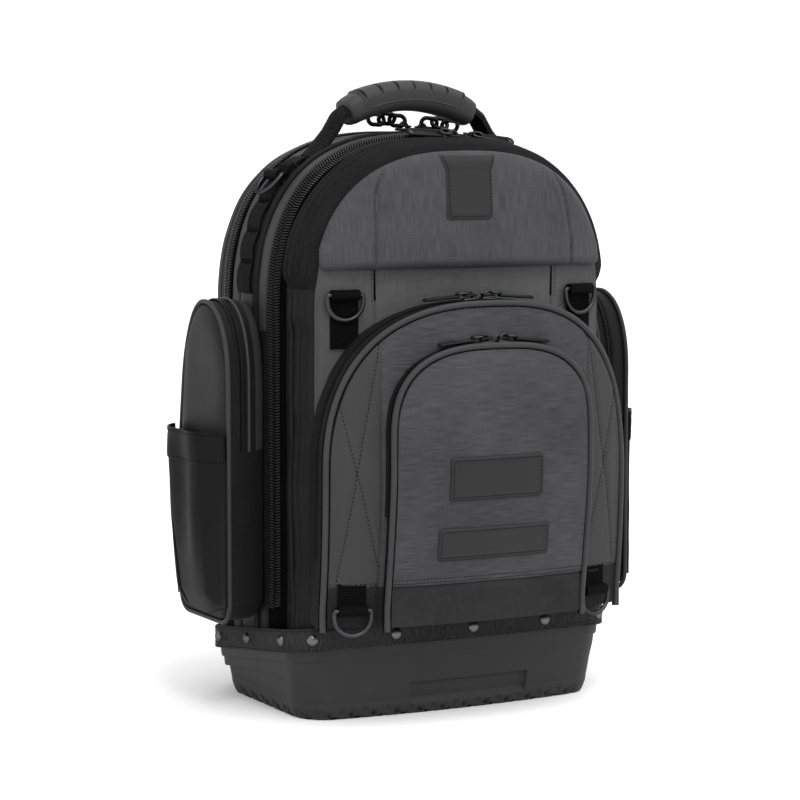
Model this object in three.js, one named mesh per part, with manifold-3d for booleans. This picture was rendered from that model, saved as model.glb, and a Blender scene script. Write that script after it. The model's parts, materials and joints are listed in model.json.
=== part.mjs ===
// Tool backpack: two arched zip compartments on a moulded base, with nested front pockets,
// side pockets with open sleeves, swinging D-rings, a moulded grip and two shoulder straps.
// Millimetres, +Z up, the front faces -Y, and the pack stands on Z = 0.

import * as THREE from "three";
import { mergeVertices } from "three/addons/utils/BufferGeometryUtils.js";
import Module from "manifold-3d";

const wasm = await Module();
wasm.setup();

// Cloth, foam and clearances
const GAP = 0.4;
const WALL_CLOTH = 3;
const POCKET_CLOTH = 2.5;
const WEB_WIDTH = 25;
const WEB_THICKNESS = 2;
const PIPING_RADIUS = 2.6;

// Body: both compartments share one arched outline
const BODY_HALF_WIDTH = 150;
const BODY_TOP = 485;
const BODY_SHOULDER = 330;
const BODY_ROUNDNESS = 2.6;
const MIDDLE_SEAM_Y = -21;
const FRONT_DEPTH = 79;
const REAR_DEPTH = 107;
const FRONT_BOW = 13;
const EDGE_TURN = 26;
const REAR_TURN = 36;
const SIDE_SWELL = 1.2;
const SEAM_RIDGE = 1.6;

// Moulded base
const TRAY_WALL = 3;
const TRAY_FLOOR = 4;
const TRAY_TAPER = 12;
const TRAY_LIP = 1.6;
const RIM_FRONT = 60;
const RIM_SLOPE = 0.131;
const TREAD_HEIGHT = 9;
const TREAD_STEP_IN = 5;
const TREAD_PITCH = 21;
const TREAD_GROOVE = 5;
const TREAD_GROOVE_DEPTH = 4;
const RECESS_HALF_WIDTH = 57;
const RECESS_TOP = 31;
const RECESS_DEPTH = 2.5;

// Webbing band riveted round the base rim
const BAND_HEIGHT = 20;
const BAND_THICKNESS = 2.2;
const BAND_OVERLAP = 12;
const RIVET_RADIUS = 4.2;
const RIVET_HEIGHT = 2.4;
const RIVET_PITCH = 72;
const SIDE_RIVET_PITCH = 58;

// Zips
const ZIP_WIDTH = 11;
const ZIP_HEIGHT = 2.6;
const REAR_ZIP_Y = 35;
const REAR_ZIP_LOW = 349;
const STEP_BACK_Y = -40;
const STEP_FRONT_Y = -50;
const STEP_IN = 8;

// Moulded hood panel and its tab
const HOOD_INSET = 14;
const HOOD_BOTTOM = 374;
const HOOD_THICKNESS = 10;
const HOOD_EDGE = 2.5;
const HOOD_CREASE_X = 84;
const HOOD_CREASE_DEPTH = 2.5;
const TAB_HALF_WIDTH = 21;
const TAB_BOTTOM = 416;
const TAB_TOP = 462;
const LEATHER = 1.6;

// Front pockets
const BIG_HALF_WIDTH = 141;
const BIG_SHOULDER = 198;
const BIG_TOP = 347;
const BIG_ROUNDNESS = 2.6;
const BIG_REACH = 37;
const BIG_BOW = 19;
const SMALL_HALF_WIDTH = 93;
const SMALL_SHOULDER = 235;
const SMALL_TOP = 313;
const SMALL_ROUNDNESS = 2.8;
const SMALL_REACH = 12;
const SMALL_BOW = 6;
const TOE_TOP = 118;
const BIG_SLACK = 11;
const SMALL_SLACK = 18;
const SLACK_TOP = 210;
const SLACK_FULL = 100;

// Bare patches on the small pocket
const UPPER_PATCH = { width: 85, height: 36, z: 205 };
const LOWER_PATCH = { width: 105, height: 27, z: 151 };

// D-rings and their webbing tabs
const RING_WIRE_RADIUS = 1.9;
const RING_HALF_WIDTH = 15.5;
const RING_LEG = 5;
const RING_BORE_GAP = 0.5;
const UPPER_RING = { x: 112, z: 354 };
const LOWER_RING = { x: 115, z: 99 };
const SIDE_RING_X = 118;
const TAB_TAIL = 32;

// Daisy-chain webbing, handle straps and moulded grip
const WEB_Y = -3;
const WEB_LOW = 352;
const HANDLE_FOOT_X = 90;
const GRIP_HALF_SPAN = 62;
const GRIP_END_Z = 503;
const GRIP_RISE = 14;
const GRIP_WIDTH = 32;
const GRIP_HEIGHT = 25;
const GRIP_RIB = 1.4;

// Side pockets
const SIDE_SEAM_FRONT = -37;
const SIDE_SEAM_BACK = 48;
const SIDE_FACE_FRONT = -58;
const SIDE_FACE_BACK = 39;
const SIDE_REACH = 43;
const SIDE_CROWN = 4;
const SIDE_BOTTOM = 82;
const SIDE_SHOULDER = 275;
const SIDE_TOP = 345;
const SIDE_ROUNDNESS = 2.3;
const SLEEVE_TOP = 238;
const SLEEVE_HEM = 24;
const SLEEVE_BULGE = 15;

// Back panel, shoulder straps, buckles and lower webbing
const BACK_HALF_WIDTH = 116;
const BACK_BOTTOM = 16;
const BACK_TOP = 446;
const BACK_THICKNESS = 18;
const STRAP_WIDTH = 62;
const STRAP_THICKNESS = 12;
const STRAP_TOP = 412;
const STRAP_END = 172;
const STRAP_TOP_X = 46;
const STRAP_END_X = 84;
const STRAP_BOW = 46;
const BUCKLE_LENGTH = 30;
const BUCKLE_WIDTH = 34;
const BUCKLE_THICKNESS = 8;
const LOWER_WEB_FOOT_X = 99;
const LOWER_WEB_FOOT_Z = 88;

// Zip pulls
const SLIDER = { length: 15, width: 8.4, height: 6 };
const PULL = { length: 34, width: 7, thickness: 2.4 };

// Worked-out places
const FRONT_Y = MIDDLE_SEAM_Y - FRONT_DEPTH;
const BACK_Y = MIDDLE_SEAM_Y + REAR_DEPTH;
const BAND_SEAT = SIDE_SWELL + 2 * GAP;
const BACK_SEAT = BACK_Y + BAND_SEAT + BAND_THICKNESS + RIVET_HEIGHT + GAP;

const COLOURS = {
  cloth: 0x46464a,
  darkCloth: 0x232325,
  rim: 0x303032,
  web: 0x1b1b1c,
  piping: 0x5a5a5c,
  rubber: 0x444446,
  leather: 0x3c3c3e,
  metal: 0x2a2a2c,
  foam: 0x2a2a2b,
};

const MATERIALS = Object.fromEntries(
  Object.entries(COLOURS).map(([name, color]) => [
    name,
    new THREE.MeshStandardMaterial({
      color,
      roughness: name === "metal" ? 0.35 : 0.85,
      metalness: name === "metal" ? 0.9 : 0,
    }),
  ]),
);

const pack = new THREE.Group();

function addPiece(name, geometry, material, parent = pack) {
  const mesh = new THREE.Mesh(geometry, MATERIALS[material]);
  mesh.name = name;
  parent.add(mesh);
  return mesh;
}

const lerp = THREE.MathUtils.lerp;
const steps = (count) => Array.from({ length: count + 1 }, (_, i) => i / count);

// Geometry helpers: every soft piece is a loft of matching closed sections

function signedVolume(positions, index) {
  const corner = (i) => new THREE.Vector3().fromArray(positions, index[i] * 3);
  let volume = 0;
  for (let i = 0; i < index.length; i += 3) {
    volume += corner(i).dot(corner(i + 1).cross(corner(i + 2))) / 6;
  }
  return volume;
}

function closedGeometry(positions, index) {
  if (signedVolume(positions, index) < 0) {
    for (let i = 0; i < index.length; i += 3) {
      [index[i + 1], index[i + 2]] = [index[i + 2], index[i + 1]];
    }
  }
  const geometry = new THREE.BufferGeometry();
  geometry.setAttribute("position", new THREE.Float32BufferAttribute(positions, 3));
  geometry.setIndex(index);
  return geometry;
}

// Sections are closed polygons of equal, even length; the first half faces the second.
function loft(sections, closed = false) {
  const n = sections[0].length;
  const index = [];
  const quad = (a, b, c, d) => index.push(a, b, c, a, c, d);
  const last = closed ? sections.length : sections.length - 1;
  for (let s = 0; s < last; s += 1) {
    const here = s * n;
    const next = ((s + 1) % sections.length) * n;
    for (let i = 0; i < n; i += 1) {
      const j = (i + 1) % n;
      quad(here + i, here + j, next + j, next + i);
    }
  }
  if (!closed) {
    const end = (sections.length - 1) * n;
    for (let i = 0; i < n / 2 - 1; i += 1) {
      quad(i, n - 1 - i, n - 2 - i, i + 1);
      quad(end + i, end + i + 1, end + n - 2 - i, end + n - 1 - i);
    }
  }
  return closedGeometry(sections.flat(2), index);
}

// A cup: outer loops from the rim to the closed end, and inner loops from the rim inside.
// flat gives the two coordinates in which the end caps are triangulated.
function cup(outerLoops, innerLoops, flat) {
  const loops = [...outerLoops, ...innerLoops.toReversed()];
  const n = loops[0].length;
  const positions = loops.flat(2);
  const index = [];
  const joinLoops = (a, b) => {
    for (let i = 0; i < n; i += 1) {
      const j = (i + 1) % n;
      index.push(a * n + i, a * n + j, b * n + j, a * n + i, b * n + j, b * n + i);
    }
  };
  const capLoop = (s, forwards) => {
    const points = loops[s].map((point) => new THREE.Vector2(...flat(point)));
    const turned = THREE.ShapeUtils.area(points) > 0 !== forwards;
    for (const [a, b, c] of THREE.ShapeUtils.triangulateShape(points, [])) {
      const corners = turned ? [a, c, b] : [a, b, c];
      index.push(...corners.map((i) => s * n + i));
    }
  };
  const end = outerLoops.length - 1;
  for (let s = 0; s < loops.length; s += 1) {
    if (s !== end) joinLoops(s, (s + 1) % loops.length);
  }
  capLoop(end, true);
  capLoop(end + 1, false);
  return closedGeometry(positions, index);
}

function toSolid(geometry) {
  const plain = geometry.clone();
  plain.deleteAttribute("normal");
  plain.deleteAttribute("uv");
  const merged = mergeVertices(plain, 1e-4);
  return new wasm.Manifold(
    new wasm.Mesh({
      numProp: 3,
      vertProperties: new Float32Array(merged.attributes.position.array),
      triVerts: new Uint32Array(merged.index.array),
    }),
  );
}

function toGeometry(solid) {
  const mesh = solid.getMesh();
  const geometry = new THREE.BufferGeometry();
  geometry.setAttribute("position", new THREE.BufferAttribute(mesh.vertProperties, 3));
  geometry.setIndex(new THREE.BufferAttribute(mesh.triVerts, 1));
  return geometry;
}

const joined = (geometries) =>
  toGeometry(geometries.map(toSolid).reduce((whole, next) => whole.add(next)));

// Outlines

// A superellipse arch on two straight legs, as [x, z] from the left foot round to the right.
// An arch whose foot is above the shoulder has no legs.
function archPath({ halfWidth, foot, shoulder, top, roundness, legSteps = 2, arcSteps = 18 }) {
  const left = steps(foot < shoulder ? legSteps : 0)
    .slice(0, -1)
    .map((t) => [-halfWidth, lerp(foot, shoulder, t)]);
  const arc = steps(arcSteps).map((t) => {
    const angle = Math.PI * (1 - t);
    const c = Math.cos(angle);
    return [
      Math.sign(c) * halfWidth * Math.abs(c) ** (2 / roundness),
      shoulder + (top - shoulder) * Math.abs(Math.sin(angle)) ** (2 / roundness),
    ];
  });
  const right = left.toReversed().map(([x, z]) => [-x, z]);
  return [...left, ...arc.filter(([, z]) => z >= foot), ...right];
}

const bodyArch = (inset, foot, detail = {}) =>
  archPath({
    halfWidth: BODY_HALF_WIDTH - inset,
    foot,
    shoulder: BODY_SHOULDER,
    top: BODY_TOP - inset,
    roundness: BODY_ROUNDNESS,
    ...detail,
  });

// Height of a superellipse arch above one x.
function archTop({ halfWidth, shoulder, top, roundness }, x) {
  const share = Math.min(1, Math.abs(x) / halfWidth);
  return shoulder + (top - shoulder) * (1 - share ** roundness) ** (1 / roundness);
}

const rimHeight = (y) => RIM_FRONT - RIM_SLOPE * (y - FRONT_Y);
const clothFoot = (y) => rimHeight(y) + BAND_OVERLAP + GAP;
const bandTop = (y) => rimHeight(y) + BAND_HEIGHT;
const frontBow = (x) => FRONT_BOW * Math.max(0, 1 - (x / BODY_HALF_WIDTH) ** 2);
const frontFace = (x) => FRONT_Y - frontBow(x);

// The plan of the base and its band: a rounded rectangle with a bowed front. The taper pulls
// it in and keeps most of its corner; the wall moves it in parallel.
function planLoop(taper, wall, cornerSteps = 4, frontSteps = 6) {
  const radius = EDGE_TURN - 0.3 * taper - wall;
  const rear = REAR_TURN - 0.3 * taper - wall;
  const side = BODY_HALF_WIDTH - taper - wall;
  const half = side - radius;
  const low = FRONT_Y + taper + wall + radius;
  const high = BACK_Y - taper - wall - rear;
  const corners = [
    { x: half, y: low, from: 0, round: radius },
    { x: side - rear, y: high, from: 90, round: rear },
    { x: rear - side, y: high, from: 180, round: rear },
    { x: -half, y: low, from: 270, round: radius },
  ];
  const bowAt = (x, y) => (y < low ? frontBow(x) * Math.min(1, (low - y) / radius) : 0);
  const loop = corners.flatMap(({ x, y, from, round }) =>
    steps(cornerSteps).map((t) => {
      const angle = THREE.MathUtils.degToRad(from - 90 + 90 * t);
      const px = x + round * Math.cos(angle);
      const py = y + round * Math.sin(angle);
      return [px, py - bowAt(px, py)];
    }),
  );
  const front = steps(frontSteps)
    .slice(1, -1)
    .map((t) => lerp(-half, half, t))
    .map((x) => [x, low - radius - frontBow(x)]);
  return [...loop, ...front];
}

// Compartments

// Stations across a gusset, from the seam to its free edge, which turns inwards in a quarter
// circle: y, how far it is pulled in, how much of the front's bow it has, and how far its
// inner face turns back. The front gusset steps in where its zip lies.
function gussetStations(depth, towards) {
  const seam = { along: SEAM_RIDGE / 2 + GAP, inset: 0 };
  const rearStraight = [seam, { along: (depth - REAR_TURN) / 2, inset: -SIDE_SWELL }];
  const frontStraight = [
    seam,
    { along: MIDDLE_SEAM_Y - STEP_BACK_Y, inset: 0 },
    { along: MIDDLE_SEAM_Y - STEP_FRONT_Y, inset: STEP_IN },
  ];
  const step = towards < 0 ? STEP_IN : 0;
  const radius = (towards < 0 ? EDGE_TURN : REAR_TURN) - step;
  const turned = [0, 35, 65, 90].map(THREE.MathUtils.degToRad).map((angle) => ({
    along: depth - radius * (1 - Math.sin(angle)),
    inset: step + radius * (1 - Math.cos(angle)),
    turn: Math.sin(angle),
  }));
  const straight = towards < 0 ? frontStraight : rearStraight;
  return [...straight, ...turned].map(({ along, inset, turn = 0 }) => ({
    y: MIDDLE_SEAM_Y + towards * along,
    inset,
    turn,
    bow: towards < 0 ? turn : 0,
  }));
}

function gusset(depth, towards) {
  const rows = gussetStations(depth, towards).map(({ y, inset, bow, turn }) => {
    const place = (extra, back) =>
      bodyArch(inset + extra, clothFoot(y - bow * FRONT_BOW)).map(([x, z]) => [
        x,
        y - bow * frontBow(x) - towards * back,
        z,
      ]);
    return { outer: place(0, 0), inner: place(WALL_CLOTH, turn * WALL_CLOTH) };
  });
  return loft(
    rows[0].outer.map((_, i) => [
      ...rows.map((row) => row.outer[i]),
      ...rows.map((row) => row.inner[i]).toReversed(),
    ]),
  );
}

// A sheet whose columns run from a low edge to a high edge; place gives [front, back] points.
function sheet(columns, rowSteps, place) {
  return loft(
    columns.map((column) => {
      const points = steps(rowSteps).map((t) => place(column, t));
      return [...points.map((p) => p[0]), ...points.map((p) => p[1]).toReversed()];
    }),
  );
}

// Columns of an arched panel: x, and the top of the arch there.
function archColumns(arch, count) {
  return steps(count).map((t) => {
    const c = Math.cos(Math.PI * (1 - t));
    const x = Math.sign(c) * arch.halfWidth * Math.abs(c) ** (2 / arch.roundness);
    return { x, top: archTop(arch, x) };
  });
}

const insetArch = (arch, inset) => ({
  ...arch,
  halfWidth: arch.halfWidth - inset,
  top: arch.top - inset,
});

const BODY_ARCH = {
  halfWidth: BODY_HALF_WIDTH,
  shoulder: BODY_SHOULDER,
  top: BODY_TOP,
  roundness: BODY_ROUNDNESS,
};
const BIG_ARCH = {
  halfWidth: BIG_HALF_WIDTH,
  shoulder: BIG_SHOULDER,
  top: BIG_TOP,
  roundness: BIG_ROUNDNESS,
};
const SMALL_ARCH = {
  halfWidth: SMALL_HALF_WIDTH,
  shoulder: SMALL_SHOULDER,
  top: SMALL_TOP,
  roundness: SMALL_ROUNDNESS,
};

function middlePanel() {
  const half = SEAM_RIDGE / 2;
  const trayReach = BODY_HALF_WIDTH - TRAY_TAPER - 2 * TRAY_WALL - SEAM_RIDGE;
  const foot = (x) =>
    Math.abs(x) < trayReach ? TRAY_FLOOR + GAP : clothFoot(MIDDLE_SEAM_Y) + half;
  return sheet(archColumns(insetArch(BODY_ARCH, -SEAM_RIDGE), 16), 1, ({ x, top }, t) => {
    const z = lerp(foot(x), top, t);
    return [
      [x, MIDDLE_SEAM_Y - half, z],
      [x, MIDDLE_SEAM_Y + half, z],
    ];
  });
}

function frontPanel() {
  const arch = insetArch(BODY_ARCH, EDGE_TURN + WALL_CLOTH + GAP);
  return sheet(archColumns(arch, 16), 2, ({ x, top }, t) => {
    const y = frontFace(x);
    const z = lerp(clothFoot(y), top, t);
    return [
      [x, y, z],
      [x, y + WALL_CLOTH, z],
    ];
  });
}

// Front of the hood at a share of its height: full in the middle, rolled down at its rim and
// creased at two places.
function hoodFront(x, share) {
  const sideEdge = (1 - (x / (BODY_HALF_WIDTH - HOOD_INSET)) ** 2) * 4;
  const roll = Math.min(1, sideEdge, share * 6, (1 - share) * 5) ** 0.5;
  const crease = Math.exp(-(((Math.abs(x) - HOOD_CREASE_X) / 5) ** 2));
  const full = (HOOD_THICKNESS - HOOD_EDGE) * lerp(1, 0.8, share) - HOOD_CREASE_DEPTH * crease;
  return frontFace(x) - GAP - HOOD_EDGE - roll * full;
}

function hoodPanel() {
  const arch = insetArch(BODY_ARCH, HOOD_INSET);
  const columns = archColumns(arch, 20);
  return sheet(columns, 6, ({ x, top }, t) => {
    const rowShare = (1 - Math.cos(Math.PI * t)) / 2;
    const z = lerp(HOOD_BOTTOM, Math.max(top, HOOD_BOTTOM + 6), rowShare);
    return [
      [x, hoodFront(x, rowShare), z],
      [x, frontFace(x) - GAP, z],
    ];
  });
}

// Bare tab sewn on the hood's middle, following its crown.
function hoodTab() {
  return sheet(
    steps(4).map((t) => lerp(-TAB_HALF_WIDTH, TAB_HALF_WIDTH, t)),
    5,
    (x, t) => {
      const z = lerp(TAB_BOTTOM, TAB_TOP, t);
      const hoodTop = archTop(insetArch(BODY_ARCH, HOOD_INSET), x);
      const y = hoodFront(x, (z - HOOD_BOTTOM) / (hoodTop - HOOD_BOTTOM)) - 1.5 * GAP;
      return [
        [x, y - LEATHER, z],
        [x, y, z],
      ];
    },
  );
}

// Front pockets

// How far a pocket face has sunk back towards the band, low down.
const slack = (amount, z) =>
  amount * THREE.MathUtils.clamp((SLACK_TOP - z) / (SLACK_TOP - SLACK_FULL), 0, 1) ** 1.3;

const bigFace = (x, z) =>
  FRONT_Y -
  BIG_REACH -
  BIG_BOW * Math.max(0, 1 - (x / BIG_HALF_WIDTH) ** 2) +
  slack(BIG_SLACK, z);

const smallFace = (x, z) =>
  FRONT_Y -
  BIG_REACH -
  BIG_BOW -
  SMALL_REACH +
  SMALL_BOW * Math.min(1, (x / SMALL_HALF_WIDTH) ** 2) +
  slack(SMALL_SLACK, z);

const POCKET_FOOT = bandTop(FRONT_Y - BIG_REACH) + 2 * GAP;

const pocketPath = (arch, inset) =>
  archPath({ ...insetArch(arch, inset), foot: POCKET_FOOT, legSteps: 3 });

// The wall of a pocket from its seat on the face behind to just behind its piping.
function pocketGusset(arch, seat, face) {
  const outer = pocketPath(arch, 0);
  const inner = pocketPath(arch, POCKET_CLOTH);
  const clearOfPiping = PIPING_RADIUS + 1.8 * GAP;
  return loft(
    outer.map(([x, z], i) => {
      const [innerX, innerZ] = inner[i];
      const back = seat(x, z);
      const front = Math.min(face(x, z) + clearOfPiping, back - POCKET_CLOTH);
      return [
        [x, back, z],
        [x, front, z],
        [innerX, front, innerZ],
        [innerX, back, innerZ],
      ];
    }),
  );
}

function pocketPanel(arch, face, low, high, columnCount, rowCount) {
  const inner = insetArch(arch, PIPING_RADIUS + 2.3 * GAP);
  return sheet(archColumns(inner, columnCount), rowCount, ({ x, top }, t) => {
    const z = lerp(low, Math.min(high, top), t);
    const y = face(x, z);
    return [
      [x, y, z],
      [x, y + POCKET_CLOTH, z],
    ];
  });
}

// A round cord of cloth along a path of points, with flat ends.
function tube(points, radius, sides) {
  const curve = new THREE.CatmullRomCurve3(points);
  const section = new THREE.Shape();
  steps(sides).slice(0, -1).forEach((t, i) => {
    const angle = 2 * Math.PI * t;
    const [px, py] = [radius * Math.cos(angle), radius * Math.sin(angle)];
    if (i === 0) section.moveTo(px, py);
    else section.lineTo(px, py);
  });
  return new THREE.ExtrudeGeometry(section, {
    steps: points.length - 1,
    extrudePath: curve,
    bevelEnabled: false,
  });
}

const pocketPiping = (arch, face) =>
  tube(
    pocketPath(arch, 0).map(([x, z]) => new THREE.Vector3(x, face(x, z), z)),
    PIPING_RADIUS,
    6,
  );

function patch({ width, height, z: centre }) {
  return sheet(
    steps(4).map((t) => lerp(-width / 2, width / 2, t)),
    1,
    (x, t) => {
      const z = centre + height * (t - 0.5);
      const y = Math.min(smallFace(x, z), smallFace(x, centre)) - GAP;
      return [
        [x, y - LEATHER, z],
        [x, y, z],
      ];
    },
  );
}

// Zips of the two compartments: raised strips round the arch, each between two edges given
// as y and inset, with a way out of the cloth.
const ZIPS = {
  front: {
    edges: [{ y: STEP_BACK_Y - 1, inset: 0.8 }, { y: STEP_FRONT_Y + 1, inset: STEP_IN - 0.8 }],
    foot: bandTop(STEP_BACK_Y) + GAP,
  },
  rear: {
    edges: [-1, 1].map((side) => ({
      y: REAR_ZIP_Y + (side * ZIP_WIDTH) / 2,
      inset: -SIDE_SWELL,
    })),
    foot: REAR_ZIP_LOW,
    detail: { arcSteps: 28 },
  },
};

// Unit way out of a zip's cloth: y, and how far it goes in.
function zipNormal({ edges: [a, b] }) {
  const run = Math.hypot(b.y - a.y, b.inset - a.inset);
  const way = a.y > b.y ? 1 : -1;
  return { y: (-way * (b.inset - a.inset)) / run, inset: (way * (b.y - a.y)) / run };
}

function bodyZip(zip) {
  const normal = zipNormal(zip);
  const ring = ({ y, inset }, lift) => {
    const at = y + normal.y * lift;
    const arch = bodyArch(inset + normal.inset * lift, zip.foot, zip.detail);
    return arch.map(([x, z]) => [x, at, z]);
  };
  const [a, b] = zip.edges;
  const high = GAP + ZIP_HEIGHT;
  const rows = [ring(a, high), ring(b, high), ring(b, GAP), ring(a, GAP)];
  return loft(rows[0].map((_, i) => rows.map((row) => row[i])));
}

// Base

// Each row is a level of the tray: height, how much it follows the sloping rim, and how much
// of the taper it is pulled in.
const TRAY_LEVELS = [
  { z: BAND_OVERLAP, follow: 1, taper: 0, step: 0.3 },
  { z: 0, follow: 1, taper: 0, step: 0.3 },
  { z: -6, follow: 1, taper: 0.1, step: TRAY_LIP },
  { z: -7, follow: 1, taper: 0.1, step: 2 * TRAY_LIP },
  { z: TREAD_HEIGHT + 9, follow: 0, taper: 0.62, step: 2 * TRAY_LIP },
  { z: TREAD_HEIGHT, follow: 0, taper: 0.8, step: 2 * TRAY_LIP },
  { z: 0, follow: 0, taper: 1, step: TREAD_STEP_IN / 2 },
];

function trayLoop({ z, follow, taper, step }, wall = 0, lift = 0) {
  return planLoop(taper * TRAY_TAPER + step * (1 - taper), wall).map(([x, y]) => [
    x,
    y,
    (follow ? rimHeight(y) : 0) + z + lift,
  ]);
}

function treadGrooves() {
  const length = 3 * TREAD_GROOVE_DEPTH;
  const depthSpan = REAR_DEPTH + FRONT_DEPTH - 2 * TRAY_TAPER - 2 * EDGE_TURN * 0.5;
  const widthSpan = 2 * (BODY_HALF_WIDTH - TRAY_TAPER) - EDGE_TURN;
  const places = (span) => {
    const count = Math.floor(span / TREAD_PITCH);
    return steps(count).map((t) => (t - 0.5) * count * TREAD_PITCH);
  };
  const block = (x, y, alongX) =>
    new THREE.BoxGeometry(
      alongX ? TREAD_GROOVE : length,
      alongX ? length : TREAD_GROOVE,
      2 * (TREAD_HEIGHT - GAP * 5),
    ).translate(x, y, 0);
  const reach = length / 2 - TREAD_GROOVE_DEPTH;
  const halfWidth = BODY_HALF_WIDTH - TRAY_TAPER;
  const middleY = (FRONT_Y + BACK_Y) / 2;
  const frontY = (x) => FRONT_Y + TRAY_TAPER - frontBow(x) - reach;
  const front = places(widthSpan).map((x) => block(x, frontY(x), true));
  const back = places(widthSpan).map((x) => block(x, BACK_Y - TRAY_TAPER + reach, true));
  const sides = places(depthSpan).flatMap((y) => [
    block(-halfWidth - reach, middleY + y, false),
    block(halfWidth + reach, middleY + y, false),
  ]);
  return [...front, ...back, ...sides];
}

function baseTray() {
  const outer = TRAY_LEVELS.map((level) => trayLoop(level));
  const inside = [TRAY_LEVELS[0], TRAY_LEVELS[3], TRAY_LEVELS[5]];
  const inner = inside.map((level) => trayLoop(level, TRAY_WALL));
  const floor = trayLoop(TRAY_LEVELS[6], 2 * TRAY_WALL, TRAY_FLOOR);
  const shell = toSolid(cup(outer, [...inner, floor], ([x, y]) => [x, y]));
  const recessFace = FRONT_Y - FRONT_BOW + TRAY_TAPER * 0.65;
  const recess = new THREE.BoxGeometry(
    2 * RECESS_HALF_WIDTH,
    2 * RECESS_DEPTH + TRAY_TAPER,
    RECESS_TOP - TREAD_HEIGHT,
  ).translate(0, recessFace - TRAY_TAPER / 2, (RECESS_TOP + TREAD_HEIGHT) / 2);
  const cuts = [recess, ...treadGrooves()].map(toSolid);
  return toGeometry(cuts.reduce((solid, cut) => solid.subtract(cut), shell));
}

// Places round the band, with the outward direction there.
function rivetPlaces() {
  const middleZ = (y) => rimHeight(y) + BAND_HEIGHT / 2;
  const face = BAND_THICKNESS + BAND_SEAT;
  const front = [-1, 0, 1].map((k) => ({ x: k * RIVET_PITCH, turn: 0 }));
  const cornerX = 2 * RIVET_PITCH - EDGE_TURN / 2;
  const cornerIn = EDGE_TURN * (1 - Math.SQRT1_2);
  const places = front.map(({ x, turn }) => ({ x, y: frontFace(x) - face, turn }));
  for (const side of [-1, 1]) {
    places.push({
      x: side * (BODY_HALF_WIDTH - cornerIn + face * Math.SQRT1_2),
      y: FRONT_Y + cornerIn - frontBow(cornerX) * 0.3 - face * Math.SQRT1_2,
      turn: side * 45,
    });
    for (const k of [-1, 0, 1]) {
      places.push({
        x: side * (BODY_HALF_WIDTH + face),
        y: (FRONT_Y + BACK_Y) / 2 + k * SIDE_RIVET_PITCH,
        turn: side * 90,
      });
    }
    places.push({ x: side * RIVET_PITCH, y: BACK_Y + face, turn: 180 });
  }
  return places.map((place) => ({ ...place, z: middleZ(place.y) }));
}

function rivet({ x, y, z, turn }) {
  const profile = [
    [0, -BAND_THICKNESS / 2],
    [RIVET_RADIUS, -BAND_THICKNESS / 2],
    [RIVET_RADIUS * 0.85, RIVET_HEIGHT * 0.6],
    [0, RIVET_HEIGHT],
  ].map(([r, h]) => new THREE.Vector2(r, h));
  return new THREE.LatheGeometry(profile, 6)
    .rotateX(Math.PI)
    .rotateZ(THREE.MathUtils.degToRad(turn))
    .translate(x, y, z);
}

function baseBand() {
  const loops = [
    { out: BAND_SEAT, low: true },
    { out: BAND_SEAT + BAND_THICKNESS, low: true },
    { out: BAND_SEAT + BAND_THICKNESS, low: false },
    { out: BAND_SEAT, low: false },
  ].map(({ out, low }) =>
    planLoop(0, -out).map(([x, y]) => [x, y, low ? rimHeight(y) : bandTop(y)]),
  );
  const strip = loft(
    loops[0].map((_, i) => loops.map((loop) => loop[i])),
    true,
  );
  return joined([strip, ...rivetPlaces().map(rivet)]);
}

// D-rings: the ring's own frame has its bar along X at the origin, and the ring hangs to -Z

function ringGeometry() {
  const r = RING_HALF_WIDTH;
  const arc = steps(8).map((t) => {
    const angle = Math.PI * t;
    return new THREE.Vector3(r * Math.cos(angle), 0, -RING_LEG - r * Math.sin(angle));
  });
  const bar = [-0.94, 0, 0.94].map((share) => new THREE.Vector3(share * r, 0, 0));
  const centres = [...bar, ...arc];
  const sides = 6;
  const sections = centres.map((centre, i) => {
    const before = centres[(i + centres.length - 1) % centres.length];
    const after = centres[(i + 1) % centres.length];
    const along = after.clone().sub(before).normalize();
    const out = new THREE.Vector3(0, 1, 0).cross(along);
    const stretch = i < bar.length && i !== 1 ? Math.SQRT2 * 0.9 : 1;
    return steps(sides)
      .slice(0, -1)
      .map((t) => {
        const angle = 2 * Math.PI * (t + 0.5 / sides);
        const point = centre
          .clone()
          .addScaledVector(out, RING_WIRE_RADIUS * stretch * Math.cos(angle));
        point.y += RING_WIRE_RADIUS * Math.sin(angle);
        return point.toArray();
      });
  });
  return loft(sections, true);
}

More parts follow.
